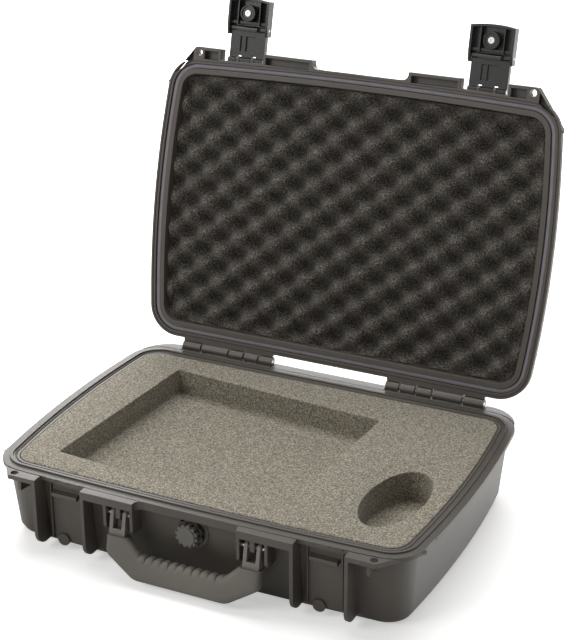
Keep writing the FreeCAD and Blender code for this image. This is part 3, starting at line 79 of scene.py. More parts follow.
# A studio table of matt white laminate, far wider than the case. It keeps the soft shadow and
# runs out to plain white round it. Its pressed skin gives the eye an even white without a sheen.
def linear(text):
    """An sRGB hex colour as linear RGBA. Each channel c becomes c / 12.92 at the dark end, else
    ((c + 0.055) / 1.055) to the power 2.4."""
    parts = [int(text[i:i + 2], 16) / 255 for i in (1, 3, 5)]
    return (*[c / 12.92 if c <= 0.04045 else ((c + 0.055) / 1.055) ** 2.4 for c in parts], 1.0)


def add(tree, kind, links=None, **settings):
    """Adds a node; links holds, for each input, a value or the socket that feeds it."""
    made = tree.nodes.new(kind)
    for name, value in settings.items():
        setattr(made, name, value)
    for socket, value in (links or {}).items():
        if isinstance(value, bpy.types.NodeSocket):
            tree.links.new(value, made.inputs[socket])
        else:
            made.inputs[socket].default_value = value
    return made


def begin(name, roughness, metallic=0.0, ior=1.5):
    """Starts a material and gives it with its node tree, its shader and the Object coordinates."""
    made = bpy.data.materials.new(name)
    made.use_nodes = True
    tree = made.node_tree
    shader = tree.nodes["Principled BSDF"]
    shader.inputs["Roughness"].default_value = roughness
    shader.inputs["Metallic"].default_value = metallic
    shader.inputs["IOR"].default_value = ior
    return made, tree, shader, add(tree, "ShaderNodeTexCoord").outputs["Object"]


table_half, table_z = 9.0, -0.0004
table_mesh = bpy.data.meshes.new("table_top")
table_mesh.from_pydata([(-table_half, -table_half, table_z), (table_half, -table_half, table_z),
                        (table_half, table_half, table_z), (-table_half, table_half, table_z)],
                       [], [(0, 1, 2, 3)])
table_top = bpy.data.objects.new("table_top", table_mesh)
bpy.context.scene.collection.objects.link(table_top)
laminate, tree, shader, place = begin("matt_white_laminate", 0.8)
shader.inputs["Base Color"].default_value = linear("#f4f3f1")
shader.inputs["Specular IOR Level"].default_value = 0.1
# To the camera the table is lifted towards white, more so far from the case. To glossy rays it
# glows as a painted reflection in the plastic: bright from the case's front backwards, most of all
# beyond its right side, and dark in front of it.
ray = add(tree, "ShaderNodeLightPath")
away = add(tree, "ShaderNodeVectorMath", {0: place}, operation="LENGTH")
paling = add(tree, "ShaderNodeMapRange", {"Value": away.outputs["Value"], "From Min": 0.6,
                                          "From Max": 1.8, "To Min": 0.46, "To Max": 0.85})
plain = add(tree, "ShaderNodeMath", {0: ray.outputs["Is Camera Ray"], 1: paling.outputs[0]},
            operation="MULTIPLY")
apart = add(tree, "ShaderNodeSeparateXYZ", {0: place})
behind = add(tree, "ShaderNodeMapRange", {"Value": apart.outputs["Y"], "From Min": -0.2,
                                          "From Max": -0.1, "To Min": 0.0, "To Max": 1.1})
beside = add(tree, "ShaderNodeMapRange", {"Value": apart.outputs["X"], "From Min": 0.15,
                                          "From Max": 0.3, "To Min": 0.15, "To Max": 1.0})
where = add(tree, "ShaderNodeMath", {0: beside.outputs[0], 1: behind.outputs[0]},
            operation="MULTIPLY")
painted_reflection_gloss = add(tree, "ShaderNodeMath", {0: ray.outputs["Is Glossy Ray"], 1: where.outputs[0]},
               operation="MULTIPLY")
lift = add(tree, "ShaderNodeMath", {0: plain.outputs[0], 1: painted_reflection_gloss.outputs[0]}, operation="ADD")
glow = add(tree, "ShaderNodeEmission", {"Color": (1, 1, 1, 1), "Strength": lift.outputs[0]})
both = add(tree, "ShaderNodeAddShader", {0: shader.outputs[0], 1: glow.outputs[0]})
tree.links.new(both.outputs[0], tree.nodes["Material Output"].inputs["Surface"])
table_mesh.materials.append(laminate)


# Daylight tubes behind a white tent: one broad box overhead, one low behind the case at the left,
# whose gloss lights every upper edge, and a weak one at the front left that fills the shadows.
world = bpy.data.worlds.new("white_tent")
bpy.context.scene.world = world
world.use_nodes = True
tree = world.node_tree
ray = add(tree, "ShaderNodeLightPath")
seen = add(tree, "ShaderNodeMath", {0: ray.outputs["Is Camera Ray"],
                                    1: ray.outputs["Is Glossy Ray"]}, operation="MAXIMUM")
level = add(tree, "ShaderNodeMapRange", {"Value": seen.outputs[0], "To Min": 0.17, "To Max": 1.0})
tree.links.new(level.outputs[0], tree.nodes["Background"].inputs["Strength"])
tree.nodes["Background"].inputs["Color"].default_value = (1, 1, 1, 1)


def lamp(name, at, towards, width, height, watts):
    """An area light, width by height metres, that hangs at one point and faces another."""
    made = bpy.data.lights.new(name, "AREA")
    made.shape = "RECTANGLE"
    made.size, made.size_y, made.energy = width, height, watts
    item = bpy.data.objects.new(name, made)
    item.location = at
    item.rotation_euler = (Vector(towards) - Vector(at)).to_track_quat("-Z", "Y").to_euler()
    bpy.context.scene.collection.objects.link(item)


lamp("box_overhead", (-0.2, 0.55, 1.9), (0, 0, 0.1), 1.9, 1.5, 36)
lamp("box_behind", (-0.95, 2.0, 1.0), (0, 0, 0.1), 2.0, 1.2, 38)
lamp("box_front_left", (-1.3, -1.7, 1.5), (0, 0, 0.2), 1.2, 1.0, 20)


# The base and the lid are injection moulded from a tough filled polypropylene, near black with a
# warm cast. Its spark-eroded mould leaves a fine grain, and its moulded edges are slightly round.
# The sizes are of the line that the seal follows: half its width and depth, and how far it bows.
seal_half_width, seal_half_depth, side_bow, front_bow = 0.225, 0.155, 0.0097, 0.00485
joints = {joint["name"]: joint for joint in frame["joints"]}
_, hinge_y, hinge_z = joints["lid_hinge"]["pos_m"]
opening = joints["lid_hinge"]["range_deg"][1]


def case_line(reach, corner):
    """The case's outline from above, reach outside its seal line, as points in order from the
    right side. Each side is an arc of radius (depth^2 + bow^2) / (2 bow) about a point on y = 0,
    the front one of (width^2 + bow^2) / (2 bow) about a point on x = 0, the back is straight, and
    arcs of radius corner touch two neighbours each."""
    side_arc = (seal_half_depth ** 2 + side_bow ** 2) / (2 * side_bow)
    front_arc = (seal_half_width ** 2 + front_bow ** 2) / (2 * front_bow)
    side_x = seal_half_width + side_bow - side_arc
    front_y = front_arc - seal_half_depth - front_bow
    side_arc, front_arc, back_y = side_arc + reach, front_arc + reach, seal_half_depth + reach
    # A front corner's middle is as far inside both arcs: there, two circles about their middles
    # meet, along the line between the two by one distance and off it by another.
    span = math.hypot(side_x, front_y)
    along = ((side_arc - corner) ** 2 - (front_arc - corner) ** 2 + span ** 2) / (2 * span)
    off = math.sqrt((side_arc - corner) ** 2 - along ** 2)
    fx = side_x - side_x / span * along + front_y / span * off
    fy = front_y / span * along + side_x / span * off
    bx = side_x + math.sqrt((side_arc - corner) ** 2 - (back_y - corner) ** 2)
    by = back_y - corner
    low, high = math.atan2(fy, fx - side_x), math.atan2(by, bx - side_x)
    tilt = math.atan2(fy - front_y, fx)

    def arc(x, y, radius, start, end, count):
        """Points of a circle: x + radius cos(turn) and y + radius sin(turn)."""
        turn = np.linspace(start, end, count, endpoint=False)
        return np.stack([x + radius * np.cos(turn), y + radius * np.sin(turn)], 1)

    on_side, on_corner, on_end = 24, 9, 30
    return np.concatenate([
        arc(side_x, 0, side_arc, low, high, on_side),
        arc(bx, by, corner, high, math.pi / 2, on_corner),
        np.stack([np.linspace(bx, -bx, on_end, endpoint=False), np.full(on_end, back_y)], 1),
        arc(-bx, by, corner, math.pi / 2, math.pi - high, on_corner),
        arc(-side_x, 0, side_arc, math.pi - high, math.pi - low, on_side),
        arc(-fx, fy, corner, math.pi - low, math.pi - tilt, on_corner),
        arc(0, front_y, front_arc, math.pi - tilt, tilt + 2 * math.pi, on_end),
        arc(fx, fy, corner, tilt, low, on_corner)])


def stacked(levels):
    """Rows of points from (height, outline) pairs, one row for each."""
    return np.array([np.column_stack([line, np.full(len(line), height)])
                     for height, line in levels])


def surface(name, grid, round_rows=False, cap_first=False, cap_last=False):
    """A mesh over a grid of points whose rows are closed loops: each face joins two neighbours of
    a row with the two in the next. round_rows joins the last row to the first, and a cap closes
    the first or last row with one face."""
    rows, columns = grid.shape[:2]
    index = np.arange(rows * columns).reshape(rows, columns)
    if round_rows:
        index = np.concatenate([index, index[:1]])
    row, after = index[:-1], index[1:]
    faces = np.stack([row, np.roll(row, -1, 1), np.roll(after, -1, 1), after], -1)
    faces = faces.reshape(-1, 4).tolist()
    if cap_first:
        faces.append(index[0, ::-1].tolist())
    if cap_last:
        faces.append(index[-1].tolist())
    mesh = bpy.data.meshes.new(name)
    mesh.from_pydata(grid.reshape(-1, 3).tolist(), [], faces)
    return mesh


def outward(mesh, crease=40.0):
    """Joins doubled points, turns the faces outwards and shades them smooth up to a crease in
    degrees."""
    work = bmesh.new()
    work.from_mesh(mesh)
    bmesh.ops.remove_doubles(work, verts=work.verts, dist=1e-7)
    bmesh.ops.recalc_face_normals(work, faces=work.faces)
    work.to_mesh(mesh)
    work.free()
    mesh.shade_smooth()
    mesh.set_sharp_from_angle(angle=math.radians(crease))
    return mesh


def track(profile):
    """Rows of points for a closed band that follows the seal line, with corners of 28 mm on that
    line itself. The profile holds (reach, height) in millimetres."""
    return stacked([(height / 1000, case_line(reach / 1000, 0.028 + reach / 1000))
                    for reach, height in profile])


def turned(points, y, z, degrees):
    """Turns points about the line along X through y and z, so that the front goes up: dy and dz
    from that line become dy cos + dz sin and dz cos - dy sin of the angle."""
    angle = math.radians(degrees)
    dy, dz = points[..., 1] - y, points[..., 2] - z
    return np.stack([points[..., 0], y + dy * math.cos(angle) + dz * math.sin(angle),
                     z - dy * math.sin(angle) + dz * math.cos(angle)], -1)


def on_lid(points):
    """Turns points of the shut lid about the hinge line to where the open lid has them."""
    return turned(points, hinge_y, hinge_z, opening)


def carved(mesh, tool):
    """Gives a copy of a closed mesh with another closed mesh cut out of it."""
    block = bpy.data.objects.new("block", mesh)
    cutter = bpy.data.objects.new("cutter", tool)
    for item in (block, cutter):
        bpy.context.scene.collection.objects.link(item)
    cut = block.modifiers.new("cut", "BOOLEAN")
    cut.operation, cut.solver, cut.object = "DIFFERENCE", "EXACT", cutter
    graph = bpy.context.evaluated_depsgraph_get()
    result = bpy.data.meshes.new_from_object(block.evaluated_get(graph))
    for item in (block, cutter):
        bpy.data.objects.remove(item)
    return result


def moulded(node, edge, finish, grooves=()):
    """Copies a CAD node, joins its triangles into faces, cuts grooves into it, rounds by edge
    metres its creases that have room for it, and shades the rest smooth. The copy stands for the
    node, with its finish."""
    crease, flat, room_needed = math.radians(32.0), math.radians(0.4), 2.3 * edge
    source = frame["nodes"][node]
    mesh = source.data.copy()
    work = bmesh.new()
    work.from_mesh(mesh)
    bmesh.ops.remove_doubles(work, verts=work.verts, dist=2e-6)
    work.to_mesh(mesh)
    work.free()
    for groove in grooves:
        mesh = carved(mesh, groove)
    mesh.name = node + "_moulded"
    work = bmesh.new()
    work.from_mesh(mesh)
    bmesh.ops.dissolve_limit(work, angle_limit=flat, verts=work.verts, edges=work.edges)
    room = {v: min((e.calc_length() for e in v.link_edges), default=0.0) for v in work.verts}
    sharp = [e for e in work.edges if len(e.link_faces) == 2 and e.calc_face_angle(0.0) > crease
             and min(room[v] for v in e.verts) > room_needed]
    bmesh.ops.bevel(work, geom=sharp, offset=edge, offset_type="OFFSET", segments=2, profile=0.5,
                    affect="EDGES", clamp_overlap=False)
    work.to_mesh(mesh)
    work.free()
    mesh.shade_smooth()
    mesh.set_sharp_from_angle(angle=crease)
    mesh.materials.clear()
    mesh.materials.append(finish)
    piece = bpy.data.objects.new(node + "_moulded", mesh)
    bpy.context.scene.collection.objects.link(piece)
    weigh = piece.modifiers.new("flat_faces_stay_flat", "WEIGHTED_NORMAL")
    weigh.keep_sharp, weigh.weight = True, 80
    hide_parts(node)
    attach(piece, source["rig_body"])


def grained(name, colour, roughness, grain, depth):
    """Moulded plastic: two octaves of noise vary its colour and gloss a little and dent it by
    depth at a grain in metres. A mould's real grain of 0.1 to 0.3 mm is too fine to show, so it
    is drawn at 0.7 to 0.9 mm."""
    made, tree, shader, place = begin(name, roughness, ior=1.49)
    fine = add(tree, "ShaderNodeTexNoise", {"Vector": place, "Scale": 1 / grain, "Detail": 2.0,
                                            "Roughness": 0.6})
    broad = add(tree, "ShaderNodeTexNoise", {"Vector": place, "Scale": 9.0, "Detail": 3.0,
                                             "Roughness": 0.55})
    tint = add(tree, "ShaderNodeMapRange", {"Value": broad.outputs["Fac"], "From Min": 0.3,
                                            "From Max": 0.7, "To Min": 0.88, "To Max": 1.12})
    shade = add(tree, "ShaderNodeVectorMath", {0: linear(colour)[:3], "Scale": tint.outputs[0]},
                operation="SCALE")
    tree.links.new(shade.outputs[0], shader.inputs["Base Color"])
    gloss = add(tree, "ShaderNodeMapRange", {"Value": fine.outputs["Fac"], "From Min": 0.3,
                                             "From Max": 0.7, "To Min": roughness - 0.06,
                                             "To Max": roughness + 0.06})
    tree.links.new(gloss.outputs[0], shader.inputs["Roughness"])
    dent = add(tree, "ShaderNodeBump", {"Height": fine.outputs["Fac"], "Strength": 1.0,
                                        "Distance": depth})
    tree.links.new(dent.outputs[0], shader.inputs["Normal"])
    return made


# Narrow grooves run round both rims, two in the base's and one in the lid's. Their sections are
# (reach, height) in millimetres.
polypropylene = grained("moulded_polypropylene", "#4b4640", 0.44, 0.0009, 0.00003)
inner_groove = [(-5.7, 88), (-5.3, 84.8), (-4.1, 84.8), (-3.7, 88)]
outer_groove = [(9.4, 88), (9.7, 84.8), (10.4, 84.8), (10.7, 88)]
lid_groove = [(5.4, 85), (5.7, 87.4), (6.5, 87.4), (6.8, 85)]
base_cuts = [outward(surface("groove", track(profile), round_rows=True))
             for profile in (inner_groove, outer_groove)]
lid_cut = outward(surface("groove", on_lid(track(lid_groove)), round_rows=True))
moulded("base_shell", 0.0005, polypropylene, grooves=base_cuts)
moulded("lid_shell", 0.0005, polypropylene, grooves=[lid_cut])


# The base's foam is open-cell polyurethane, two sheets one on the other. The upper one is cut out
# for the things that it holds, and a hot wire leaves its edges a little round. Its open pores
# swallow the light, so that it looks speckled and quite matt.
def show(name, mesh, finish, slot, body, *nodes):
    """Puts a mesh into the scene with its finish, on its body, in place of its CAD nodes."""
    piece = bpy.data.objects.new(name, mesh)
    bpy.context.scene.collection.objects.link(piece)
    mesh.materials.append(finish)
    if nodes:
        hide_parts(*nodes)
    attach(piece, body)
    return piece


def foam(name, dark, middle, light, cell, depth, painted_crest_light=False):
    """Open-cell foam: cells of a real size in metres, each a dark pore between lit walls, with a
    noise of the same size over them. The pores are drawn about one and a half times their real 0.8
    mm, so that they show. Foam cut into peaks can carry painted light and shade by its mesh's crest
    attribute: paler where that is 1, on the peaks, and darker where it is 0, in the dimples."""
    made, tree, shader, place = begin(name, 0.95, ior=1.45)
    cells = add(tree, "ShaderNodeTexVoronoi", {"Vector": place, "Scale": 1 / cell}, feature="F1")
    specks = add(tree, "ShaderNodeTexNoise", {"Vector": place, "Scale": 0.7 / cell, "Detail": 3.0,
                                              "Roughness": 0.75})
    walls = add(tree, "ShaderNodeMath", {0: cells.outputs["Distance"], 1: 0.22},
                operation="MULTIPLY")
    speck = add(tree, "ShaderNodeMath", {0: specks.outputs["Fac"], 1: walls.outputs[0]},
                operation="ADD")
    ramp = add(tree, "ShaderNodeValToRGB", {"Fac": speck.outputs[0]})
    pore, wall = ramp.color_ramp.elements
    pore.position, pore.color = 0.44, linear(dark)
    wall.position, wall.color = 0.76, linear(light)
    ramp.color_ramp.elements.new(0.6).color = linear(middle)
    colour = ramp.outputs["Color"]
    # Painted light on the peaks and painted shade in the dimples: the colour is scaled by the crest
    # attribute.
    if painted_crest_light:
        crest = add(tree, "ShaderNodeAttribute", attribute_name="crest")
        painted_peak_light_and_shade = add(tree, "ShaderNodeMapRange", {"Value": crest.outputs["Fac"],
                                                      "To Min": 0.62, "To Max": 1.75})
        paler = add(tree, "ShaderNodeVectorMath", {0: colour, "Scale": painted_peak_light_and_shade.outputs[0]},
                    operation="SCALE")
        colour = paler.outputs[0]
    tree.links.new(colour, shader.inputs["Base Color"])
    shader.inputs["Specular IOR Level"].default_value = 0.15
    shader.inputs["Sheen Weight"].default_value = 0.15
    dent = add(tree, "ShaderNodeBump", {"Height": speck.outputs[0], "Strength": 1.0,
                                        "Distance": depth})
    tree.links.new(dent.outputs[0], shader.inputs["Normal"])
    return made


def slab(name, rings, pockets):
    """A foam block. Its rings are (height, reach, corner) from the bottom up, joined in order.
    Each pocket is a loop function of how far its edge is set back, and its floor's height: the
    wall has round edges, and between them it swells inwards by 0.6 mm times the sine of the way
    down. The flat top is filled between them."""
    outlines = [(height, case_line(reach, corner)) for height, reach, corner in rings]
    mesh = surface(name, stacked(outlines), cap_first=True)
    work = bmesh.new()
    work.from_mesh(mesh)
    top = rings[-1][0]
    for line, floor in pockets:
        upper_edge = [(0.0012, top), (0.0005, top - 0.0002), (0.0001, top - 0.0006),
                      (0.0, top - 0.0014)]
        swell = 0.0006 * np.sin(np.linspace(0, math.pi, 5))
        wall = list(zip(-swell, np.linspace(top - 0.004, floor + 0.004, 5)))
        lower_edge = [(0.0, floor + 0.0014), (-0.0006, floor + 0.0004), (-0.0014, floor)]
        loops = [(height, line(set_back)) for set_back, height in upper_edge + wall + lower_edge]
        part = surface(name, stacked(loops), cap_last=True)
        work.from_mesh(part)
        bpy.data.meshes.remove(part)
    work.verts.ensure_lookup_table()
    rim = [e for e in work.edges
           if len(e.link_faces) == 1 and all(abs(v.co.z - top) < 1e-6 for v in e.verts)]
    bmesh.ops.triangle_fill(work, use_beauty=True, use_dissolve=False, edges=rim)
    work.to_mesh(mesh)
    work.free()
    return outward(mesh)


def whole_turn(count):
    """Angles spread evenly over a whole turn."""
    return np.linspace(0, 2 * math.pi, count, endpoint=False)


def laid(x, y, degrees, middle_x, middle_y):
    """A flat loop turned and moved to its middle: x cos - y sin and x sin + y cos of the angle."""
    angle = math.radians(degrees)
    return np.stack([middle_x + x * math.cos(angle) - y * math.sin(angle),
                     middle_y + x * math.sin(angle) + y * math.cos(angle)], 1)


def square_pocket(set_back):
    """A rectangle of 262 by 229 mm, grown by set_back metres, with quarter circles of 3 mm."""
    half_x, half_y, corner = 0.131 + set_back, 0.1145 + set_back, 0.003 + set_back
    turn = np.linspace(0, math.pi / 2, 5)
    quarters = ((1, 1, 0), (-1, 1, math.pi / 2), (-1, -1, math.pi), (1, -1, 1.5 * math.pi))
    x, y = np.concatenate([
        np.stack([sx * (half_x - corner) + corner * np.cos(turn + start),
                  sy * (half_y - corner) + corner * np.sin(turn + start)], 1)
        for sx, sy, start in quarters]).T
    return laid(x, y, -4.6, -0.043, -0.0105)


def oval_pocket(set_back):
    """An ellipse of 120 by 60 mm, grown by set_back metres: half width cos, half length sin."""
    turn = whole_turn(64)
    return laid((0.030 + set_back) * np.cos(turn), (0.060 + set_back) * np.sin(turn),
                -4, 0.176, -0.057)


grey_foam = foam("polyurethane_foam_grey", "#544e44", "#868073", "#b6af9f", 0.0013, 0.0004)
upper = slab("base_foam_soft", [
    (0.0158, -0.0083, 0.0226), (0.0164, -0.0075, 0.0234), (0.0800, -0.0016, 0.0266),
    (0.0805, -0.0022, 0.0262), (0.0806, -0.0082, 0.0202), (0.0810, -0.0090, 0.0192),
    (0.0848, -0.0090, 0.0192), (0.0862, -0.0094, 0.0190), (0.0867, -0.0102, 0.0186),
    (0.0868, -0.0112, 0.0180)], [(square_pocket, 0.0568), (oval_pocket, 0.0528)])
piece = show("base_foam_soft", upper, grey_foam, "base_foam", "base", "base_foam")
lower = slab("base_foam_sheet_soft", [
    (0.0039, -0.0152, 0.0198), (0.0052, -0.0136, 0.0208), (0.0096, -0.0083, 0.0228),
    (0.0140, -0.0079, 0.0230), (0.0151, -0.0083, 0.0228), (0.0154, -0.0091, 0.0220)], [])
piece = show("base_foam_sheet_soft", lower, grey_foam, "base_foam", "base", "base_foam_pad")


# The lid's foam is the same stuff in charcoal, convoluted: rollers squeeze a thick sheet while a
# blade splits it, so that it springs back into staggered rows of peaks and dimples. Its colour
# carries painted light on the peaks and painted shade in the dimples.
sheet_half_width, sheet_half_depth, sheet_y = 0.2198, 0.1486, -0.0024
sheet_front, sheet_back = -0.15105, 0.1462
rows, columns = 161, 231


def peaks(x, y):
    """Height of the convolutions from -1 to 1, with a = 2 pi x / 44 mm and b = 2 pi y / 37 mm:
    0.6 cos(a + b) + 0.4 cos(a - b), so that the staggered peaks run together along one diagonal."""
    a, b = 2 * math.pi * x / 0.044, 2 * math.pi * y / 0.037
    return 0.6 * np.cos(a + b) + 0.4 * np.cos(a - b)


def eased(value):
    """Held between 0 and 1, with a soft start and end: 3 value^2 - 2 value^3."""
    value = np.clip(value, 0, 1)
    return value * value * (3 - 2 * value)


def relief(x, y, gap):
    """Height of the sheet's face at a gap from its edge: 96.5 mm less 7.2 mm times the peaks,
    which sink over the last 14 mm to 0.3 of their height at a level of 0.55. Over the last
    3.5 mm the face also bends back by 1.8 mm along a quarter of an ellipse."""
    inwards = eased(gap / 0.014)
    bend = np.clip(gap / 0.0035, 0, 1)
    face = 0.0965 - 0.0072 * (peaks(x, y) * (0.3 + 0.7 * inwards) + 0.55 * (1 - inwards))
    return face + 0.0018 * (1 - np.sqrt(1 - (1 - bend) ** 2))


def set_in(loop, by, height):
    """A loop drawn in towards its middle, x (1 - by / half width) and y (1 - by / half depth)
    from there, at a height."""
    return np.stack([loop[:, 0] * (1 - by / sheet_half_width),
                     sheet_y + (loop[:, 1] - sheet_y) * (1 - by / sheet_half_depth),
                     np.full(len(loop), height)], 1)


# The sheet's face is a grid whose rows run from its bowed front to its straight back, each as
# wide as the line 8.8 mm inside the seal is there. Its edge then runs on through rings, each
# given by how far it is drawn in and its height, to a flat back.
back_rings = [(0.0018, 0.1000), (0.0037, 0.1092), (0.0056, 0.1132), (0.0102, 0.1156)]
charcoal_foam = foam("polyurethane_foam_charcoal", "#211f1c", "#3d3a36", "#69645d", 0.0013, 0.0004,
                     painted_crest_light=True)
right_edge = case_line(-0.0088, 0.0192)
right_edge = right_edge[right_edge[:, 0] > 0]
right_edge = right_edge[np.argsort(right_edge[:, 1])]
to_back = np.linspace(0, 1, rows)[:, None]
level_x = np.linspace(-1, 1, columns)[None, :] * sheet_half_width
front_line = sheet_front + front_bow * (level_x / seal_half_width) ** 2
sheet_ys = front_line * (1 - to_back) + sheet_back * to_back
half_there = np.interp(sheet_ys, right_edge[:, 1], right_edge[:, 0])
sheet_xs = level_x / sheet_half_width * half_there
gap = np.minimum(half_there - np.abs(sheet_xs),
                 np.minimum(sheet_ys - front_line, sheet_back - sheet_ys))
face = np.stack([sheet_xs, sheet_ys, relief(sheet_xs, sheet_ys, gap)], -1).reshape(-1, 3)
index = np.arange(rows * columns).reshape(rows, columns)
edge = np.concatenate([index[0], index[1:, -1], index[-1, -2::-1], index[-2:0:-1, 0]])
points = np.concatenate([face] + [set_in(face[edge], by, height) for by, height in back_rings])
faces = np.stack([index[:-1, :-1], index[1:, :-1], index[1:, 1:], index[:-1, 1:]], -1)
rings = len(face) + np.arange(len(back_rings) * len(edge)).reshape(-1, len(edge))
rings = np.concatenate([[edge], rings])
ahead = np.roll(rings, -1, 1)
sides = np.stack([rings[:-1], ahead[:-1], ahead[1:], rings[1:]], -1)
mesh = bpy.data.meshes.new("lid_foam_soft")
mesh.from_pydata(on_lid(points).tolist(), [], faces.reshape(-1, 4).tolist()
                 + sides.reshape(-1, 4).tolist() + [rings[-1].tolist()])
# The crest attribute carries the painted light and shade: 1 on the peaks, 0 in the dimples, and 0.4
# on the sheet's edge and back.
crest = np.full(len(points), 0.4)
crest[:len(face)] = (np.clip(0.5 + 0.5 * peaks(sheet_xs, sheet_ys), 0, 1) ** 1.5).ravel()
mesh.attributes.new("crest", "FLOAT", "POINT").data.foreach_set("value", crest)
piece = show("lid_foam_soft", outward(mesh, 60.0), charcoal_foam, "lid_foam", "lid", "lid_foam")


# The seal is a band of soft extruded rubber, pushed into the channel round the lid's rim. Its
# face is a low crown that the base's ridge presses into. A faint bloom clouds its matt grey.
def clouded(tree, shader, noise, first, second):
    """Colours a shader between two hex colours by a noise. A Mix node takes its colours in
    inputs 6 and 7 and gives their blend in output 2."""
    tone = add(tree, "ShaderNodeMix", {"Factor": noise.outputs["Fac"], 6: linear(first),
                                       7: linear(second)}, data_type="RGBA")
    tree.links.new(tone.outputs[2], shader.inputs["Base Color"])


rubber, tree, shader, place = begin("extruded_rubber_band", 0.62)
bloom = add(tree, "ShaderNodeTexNoise", {"Vector": place, "Scale": 60.0, "Detail": 4.0,
                                         "Roughness": 0.6})
clouded(tree, shader, bloom, "#79747a", "#938e94")
band = track([(-2.4, 91.3), (-2.4, 89.5), (-2.0, 88.8), (-1.2, 88.45), (0.2, 88.3), (1.7, 88.45),
              (2.5, 88.8), (2.9, 89.5), (2.9, 91.3)])
band_mesh = outward(surface("lid_gasket_band", on_lid(band), round_rows=True))
show("lid_gasket_band", band_mesh, rubber, "gasket", "lid", "lid_gasket")


# Turned stainless pins run through the hinges, the handle's ears and the latches. Turning leaves
# faint light and dark marks on them, drawn here at 2.5 mm, coarser than real, so that they show.
steel, tree, shader, place = begin("turned_stainless_steel", 0.3, metallic=1.0)
marks = add(tree, "ShaderNodeTexNoise", {"Vector": place, "Scale": 400.0, "Detail": 2.0})
clouded(tree, shader, marks, "#a9a7a3", "#d8d6d2")
for node in ("hinge_pin_left", "hinge_pin_right", "handle_pin_left", "handle_pin_right",
             "latch_link_pin_left", "latch_link_pin_right", "latch_cover_pin_left",
             "latch_cover_pin_right"):
    moulded(node, 0.0003, steel)


# The handle has a stiff frame of glass-filled nylon, moulded in one with the forked ends that
# show above the grip. The glass greys its skin a little and leaves it half matt.
nylon = grained("glass_filled_nylon", "#78736c", 0.4, 0.0007, 0.00002)
moulded("handle_frame", 0.0004, nylon)


# The grip is a soft thermoplastic rubber moulded over the frame, with a fine matt grain and a row
# of round finger ribs inside the bow. It hangs from the handle's pivot and leans out from the wall.
def rounded(corners, setbacks, counts):
    """Points along a run of straight lines. Each inner corner is a quadratic curve that starts a
    setback before it and ends as far after it: (1 - t)^2 of its start, 2 t (1 - t) of the corner
    and t^2 of its end. counts gives the points on each straight."""
    corners = np.array(corners, float)
    runs = []
    start = corners[0]
    for before, corner, after, setback, count in zip(corners, corners[1:], corners[2:], setbacks,
                                                     counts):
        towards, onwards = corner - before, after - corner
        enter = corner - towards / np.linalg.norm(towards) * setback
        leave = corner + onwards / np.linalg.norm(onwards) * setback
        t = np.linspace(0, 1, count, endpoint=False)[:, None]
        runs.append(start + (enter - start) * t)
        t = np.linspace(0, 1, 7, endpoint=False)[:, None]
        runs.append((1 - t) ** 2 * enter + 2 * t * (1 - t) * corner + t ** 2 * leave)
        start = leave
    t = np.linspace(0, 1, counts[-1])[:, None]
    runs.append(start + (corners[-1] - start) * t)
    return np.concatenate(runs)


_, pivot_y, pivot_z = joints["handle_hinge"]["pos_m"]
lean, half_thick, ribbed_half, rib_count = 15.0, 0.0079, 0.050, 11
counts = (4, 6, 150, 6, 4)
outer = rounded([(-86, 46), (-86, 26), (-52, 4), (52, 4), (86, 26), (86, 46)], (5, 6, 6, 5),
                counts) / 1000
inner = rounded([(-62, 46), (-57, 41), (-48, 32), (48, 32), (57, 41), (62, 46)], (2, 5, 5, 2),
                counts) / 1000
middle, reach = (outer + inner) / 2, (outer - inner) / 2
# Across the grip, its section is a rounded square: cosine and sine to the power 2 / 3.4, with
# their signs kept. Between the ribs, which are |sin| to the power 0.4, its inner face dips.
turn = whole_turn(48)
lie = np.sign(np.cos(turn)) * np.abs(np.cos(turn)) ** (2 / 3.4)
deep = np.sign(np.sin(turn)) * np.abs(np.sin(turn)) ** (2 / 3.4)
phase = (middle[:, 0] + ribbed_half) / (2 * ribbed_half / rib_count)
rib = np.where(np.abs(middle[:, 0]) < ribbed_half + 0.0001,
               np.abs(np.sin(math.pi * phase)) ** 0.4, 1.0)
dip = (1 - rib)[:, None] * eased((-lie - 0.3) / 0.35)[None, :]
across = lie[None, :, None] * (1 - 0.24 * dip[..., None])
section = middle[:, None, :] + reach[:, None, :] * across
depth = half_thick * deep[None, :] * (1 - 0.1 * dip)
grip = turned(np.stack([section[..., 0], pivot_y + depth, section[..., 1]], -1),
              pivot_y, pivot_z, lean)
soft_rubber = grained("thermoplastic_rubber", "#67635c", 0.6, 0.0008, 0.00005)
grip_mesh = outward(surface("handle_grip_soft", grip, cap_first=True, cap_last=True), 50.0)
show("handle_grip_soft", grip_mesh, soft_rubber, "grip", "handle", "handle_grip")


# The purge valve lets air in and out of the shut case. A lobed nylon housing goes through the
# wall, and a knob turns on it: the housing is near black, the knob a matt grey.
valve_grey = grained("valve_nylon", "#5f5c56", 0.42, 0.0008, 0.00003)
valve_black = grained("valve_nylon_black", "#2a2826", 0.42, 0.0008, 0.00003)
moulded("purge_valve_knob", 0.0004, valve_grey)
moulded("purge_valve_body", 0.0004, valve_black)


# Each latch is moulded in black acetal, which is denser and glossier than the case's plastic: a
# link that hooks under the keeper, and a cover over it with two stiffening ribs. A steel screw in
# a collar of the cover holds its push button. Places are those of the shut lid, turned with it.
latch_x, screw_y = joints["latch_link_hinge_right"]["pos_m"][0], -0.222


def hex_socket(middle):
    """A six-sided prism 3.4 mm across its corners, 0.9 mm deep in the head of a latch's screw."""
    turn = whole_turn(6)
    hexagon = np.stack([middle + 0.0017 * np.cos(turn), screw_y + 0.0017 * np.sin(turn)], 1)
    return outward(surface("socket", on_lid(stacked([(0.0910, hexagon), (0.0926, hexagon)])),
                           cap_first=True, cap_last=True))


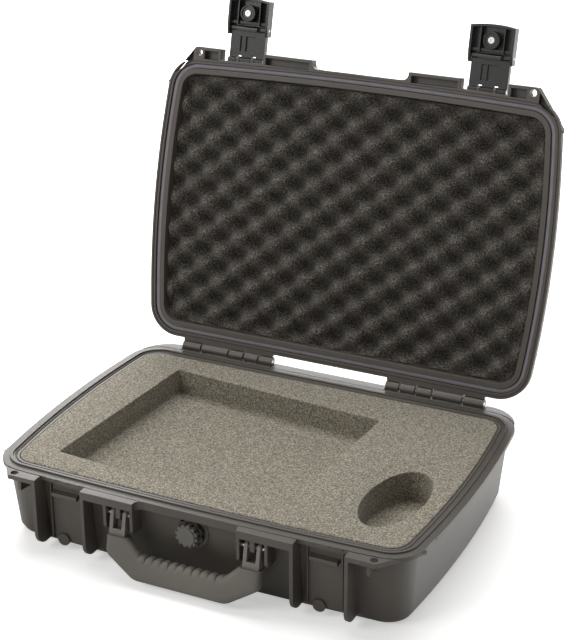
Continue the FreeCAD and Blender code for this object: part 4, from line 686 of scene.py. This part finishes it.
def collar(middle):
    """A ring round the screw: each (radius, height) of its section, in millimetres, goes once
    round the screw's own axis."""
    section = [(9.5, 93.3), (9.4, 92.0), (8.9, 91.4), (7.7, 91.4), (7.2, 92.0), (7.0, 93.3)]
    radius, height = np.array(section).T / 1000
    turn = whole_turn(48)
    x = middle + radius[:, None] * np.cos(turn)
    y = screw_y + radius[:, None] * np.sin(turn)
    return on_lid(np.stack([x, y, np.broadcast_to(height[:, None], x.shape)], -1))


def stiffener(middle, offset):
    """A straight rib 1.4 mm thick at its root and 1.0 mm at its edge, from the cover's tip to its
    cross bar."""
    tip_y, bar_y = -0.2370, -0.2085

    def outline(half):
        """The rib's four corners from above, half its thickness on either side."""
        return np.array([(middle + offset + sx * half, y)
                         for sx, y in ((-1, tip_y), (1, tip_y), (1, bar_y), (-1, bar_y))])
    return on_lid(stacked([(0.1036, outline(0.0007)), (0.0955, outline(0.0006)),
                           (0.0951, outline(0.0005))]))


acetal = grained("moulded_acetal", "#211f1d", 0.26, 0.0008, 0.00001)
for side, middle in (("left", -latch_x), ("right", latch_x)):
    shapes = [outward(surface("collar", collar(middle), round_rows=True))]
    shapes += [outward(surface("stiffener", stiffener(middle, offset), cap_first=True,
                               cap_last=True)) for offset in (-0.0135, 0.0135)]
    joined = bmesh.new()
    for shape in shapes:
        joined.from_mesh(shape)
    mesh = bpy.data.meshes.new("latch_cover_ribs_" + side)
    joined.to_mesh(mesh)
    joined.free()
    mesh.shade_smooth()
    mesh.set_sharp_from_angle(angle=math.radians(40))
    show("latch_cover_ribs_" + side, mesh, acetal, "latch", "latch_cover_" + side)
    for part in ("latch_link_", "latch_cover_", "latch_button_"):
        moulded(part + side, 0.0003, acetal)
    moulded("latch_button_screw_" + side, 0.0002, steel, grooves=[hex_socket(middle)])


# Hidden pieces keep their CAD shape: the valve's nut, its seal of smooth nitrile rubber and its
# membrane, a matt white film that lets air through, and the springs behind the buttons.
nitrile, _, shader, _ = begin("nitrile_rubber", 0.5)
shader.inputs["Base Color"].default_value = linear("#1c1b1a")
film, _, shader, _ = begin("expanded_membrane", 0.9)
shader.inputs["Base Color"].default_value = linear("#dcdad4")
for node, finish in (("purge_valve_nut", valve_black), ("purge_valve_seal", nitrile),
                     ("purge_valve_membrane", film), ("latch_button_spring_left", steel),
                     ("latch_button_spring_right", steel)):
    frame["nodes"][node].data.materials.clear()
    frame["nodes"][node].data.materials.append(finish)
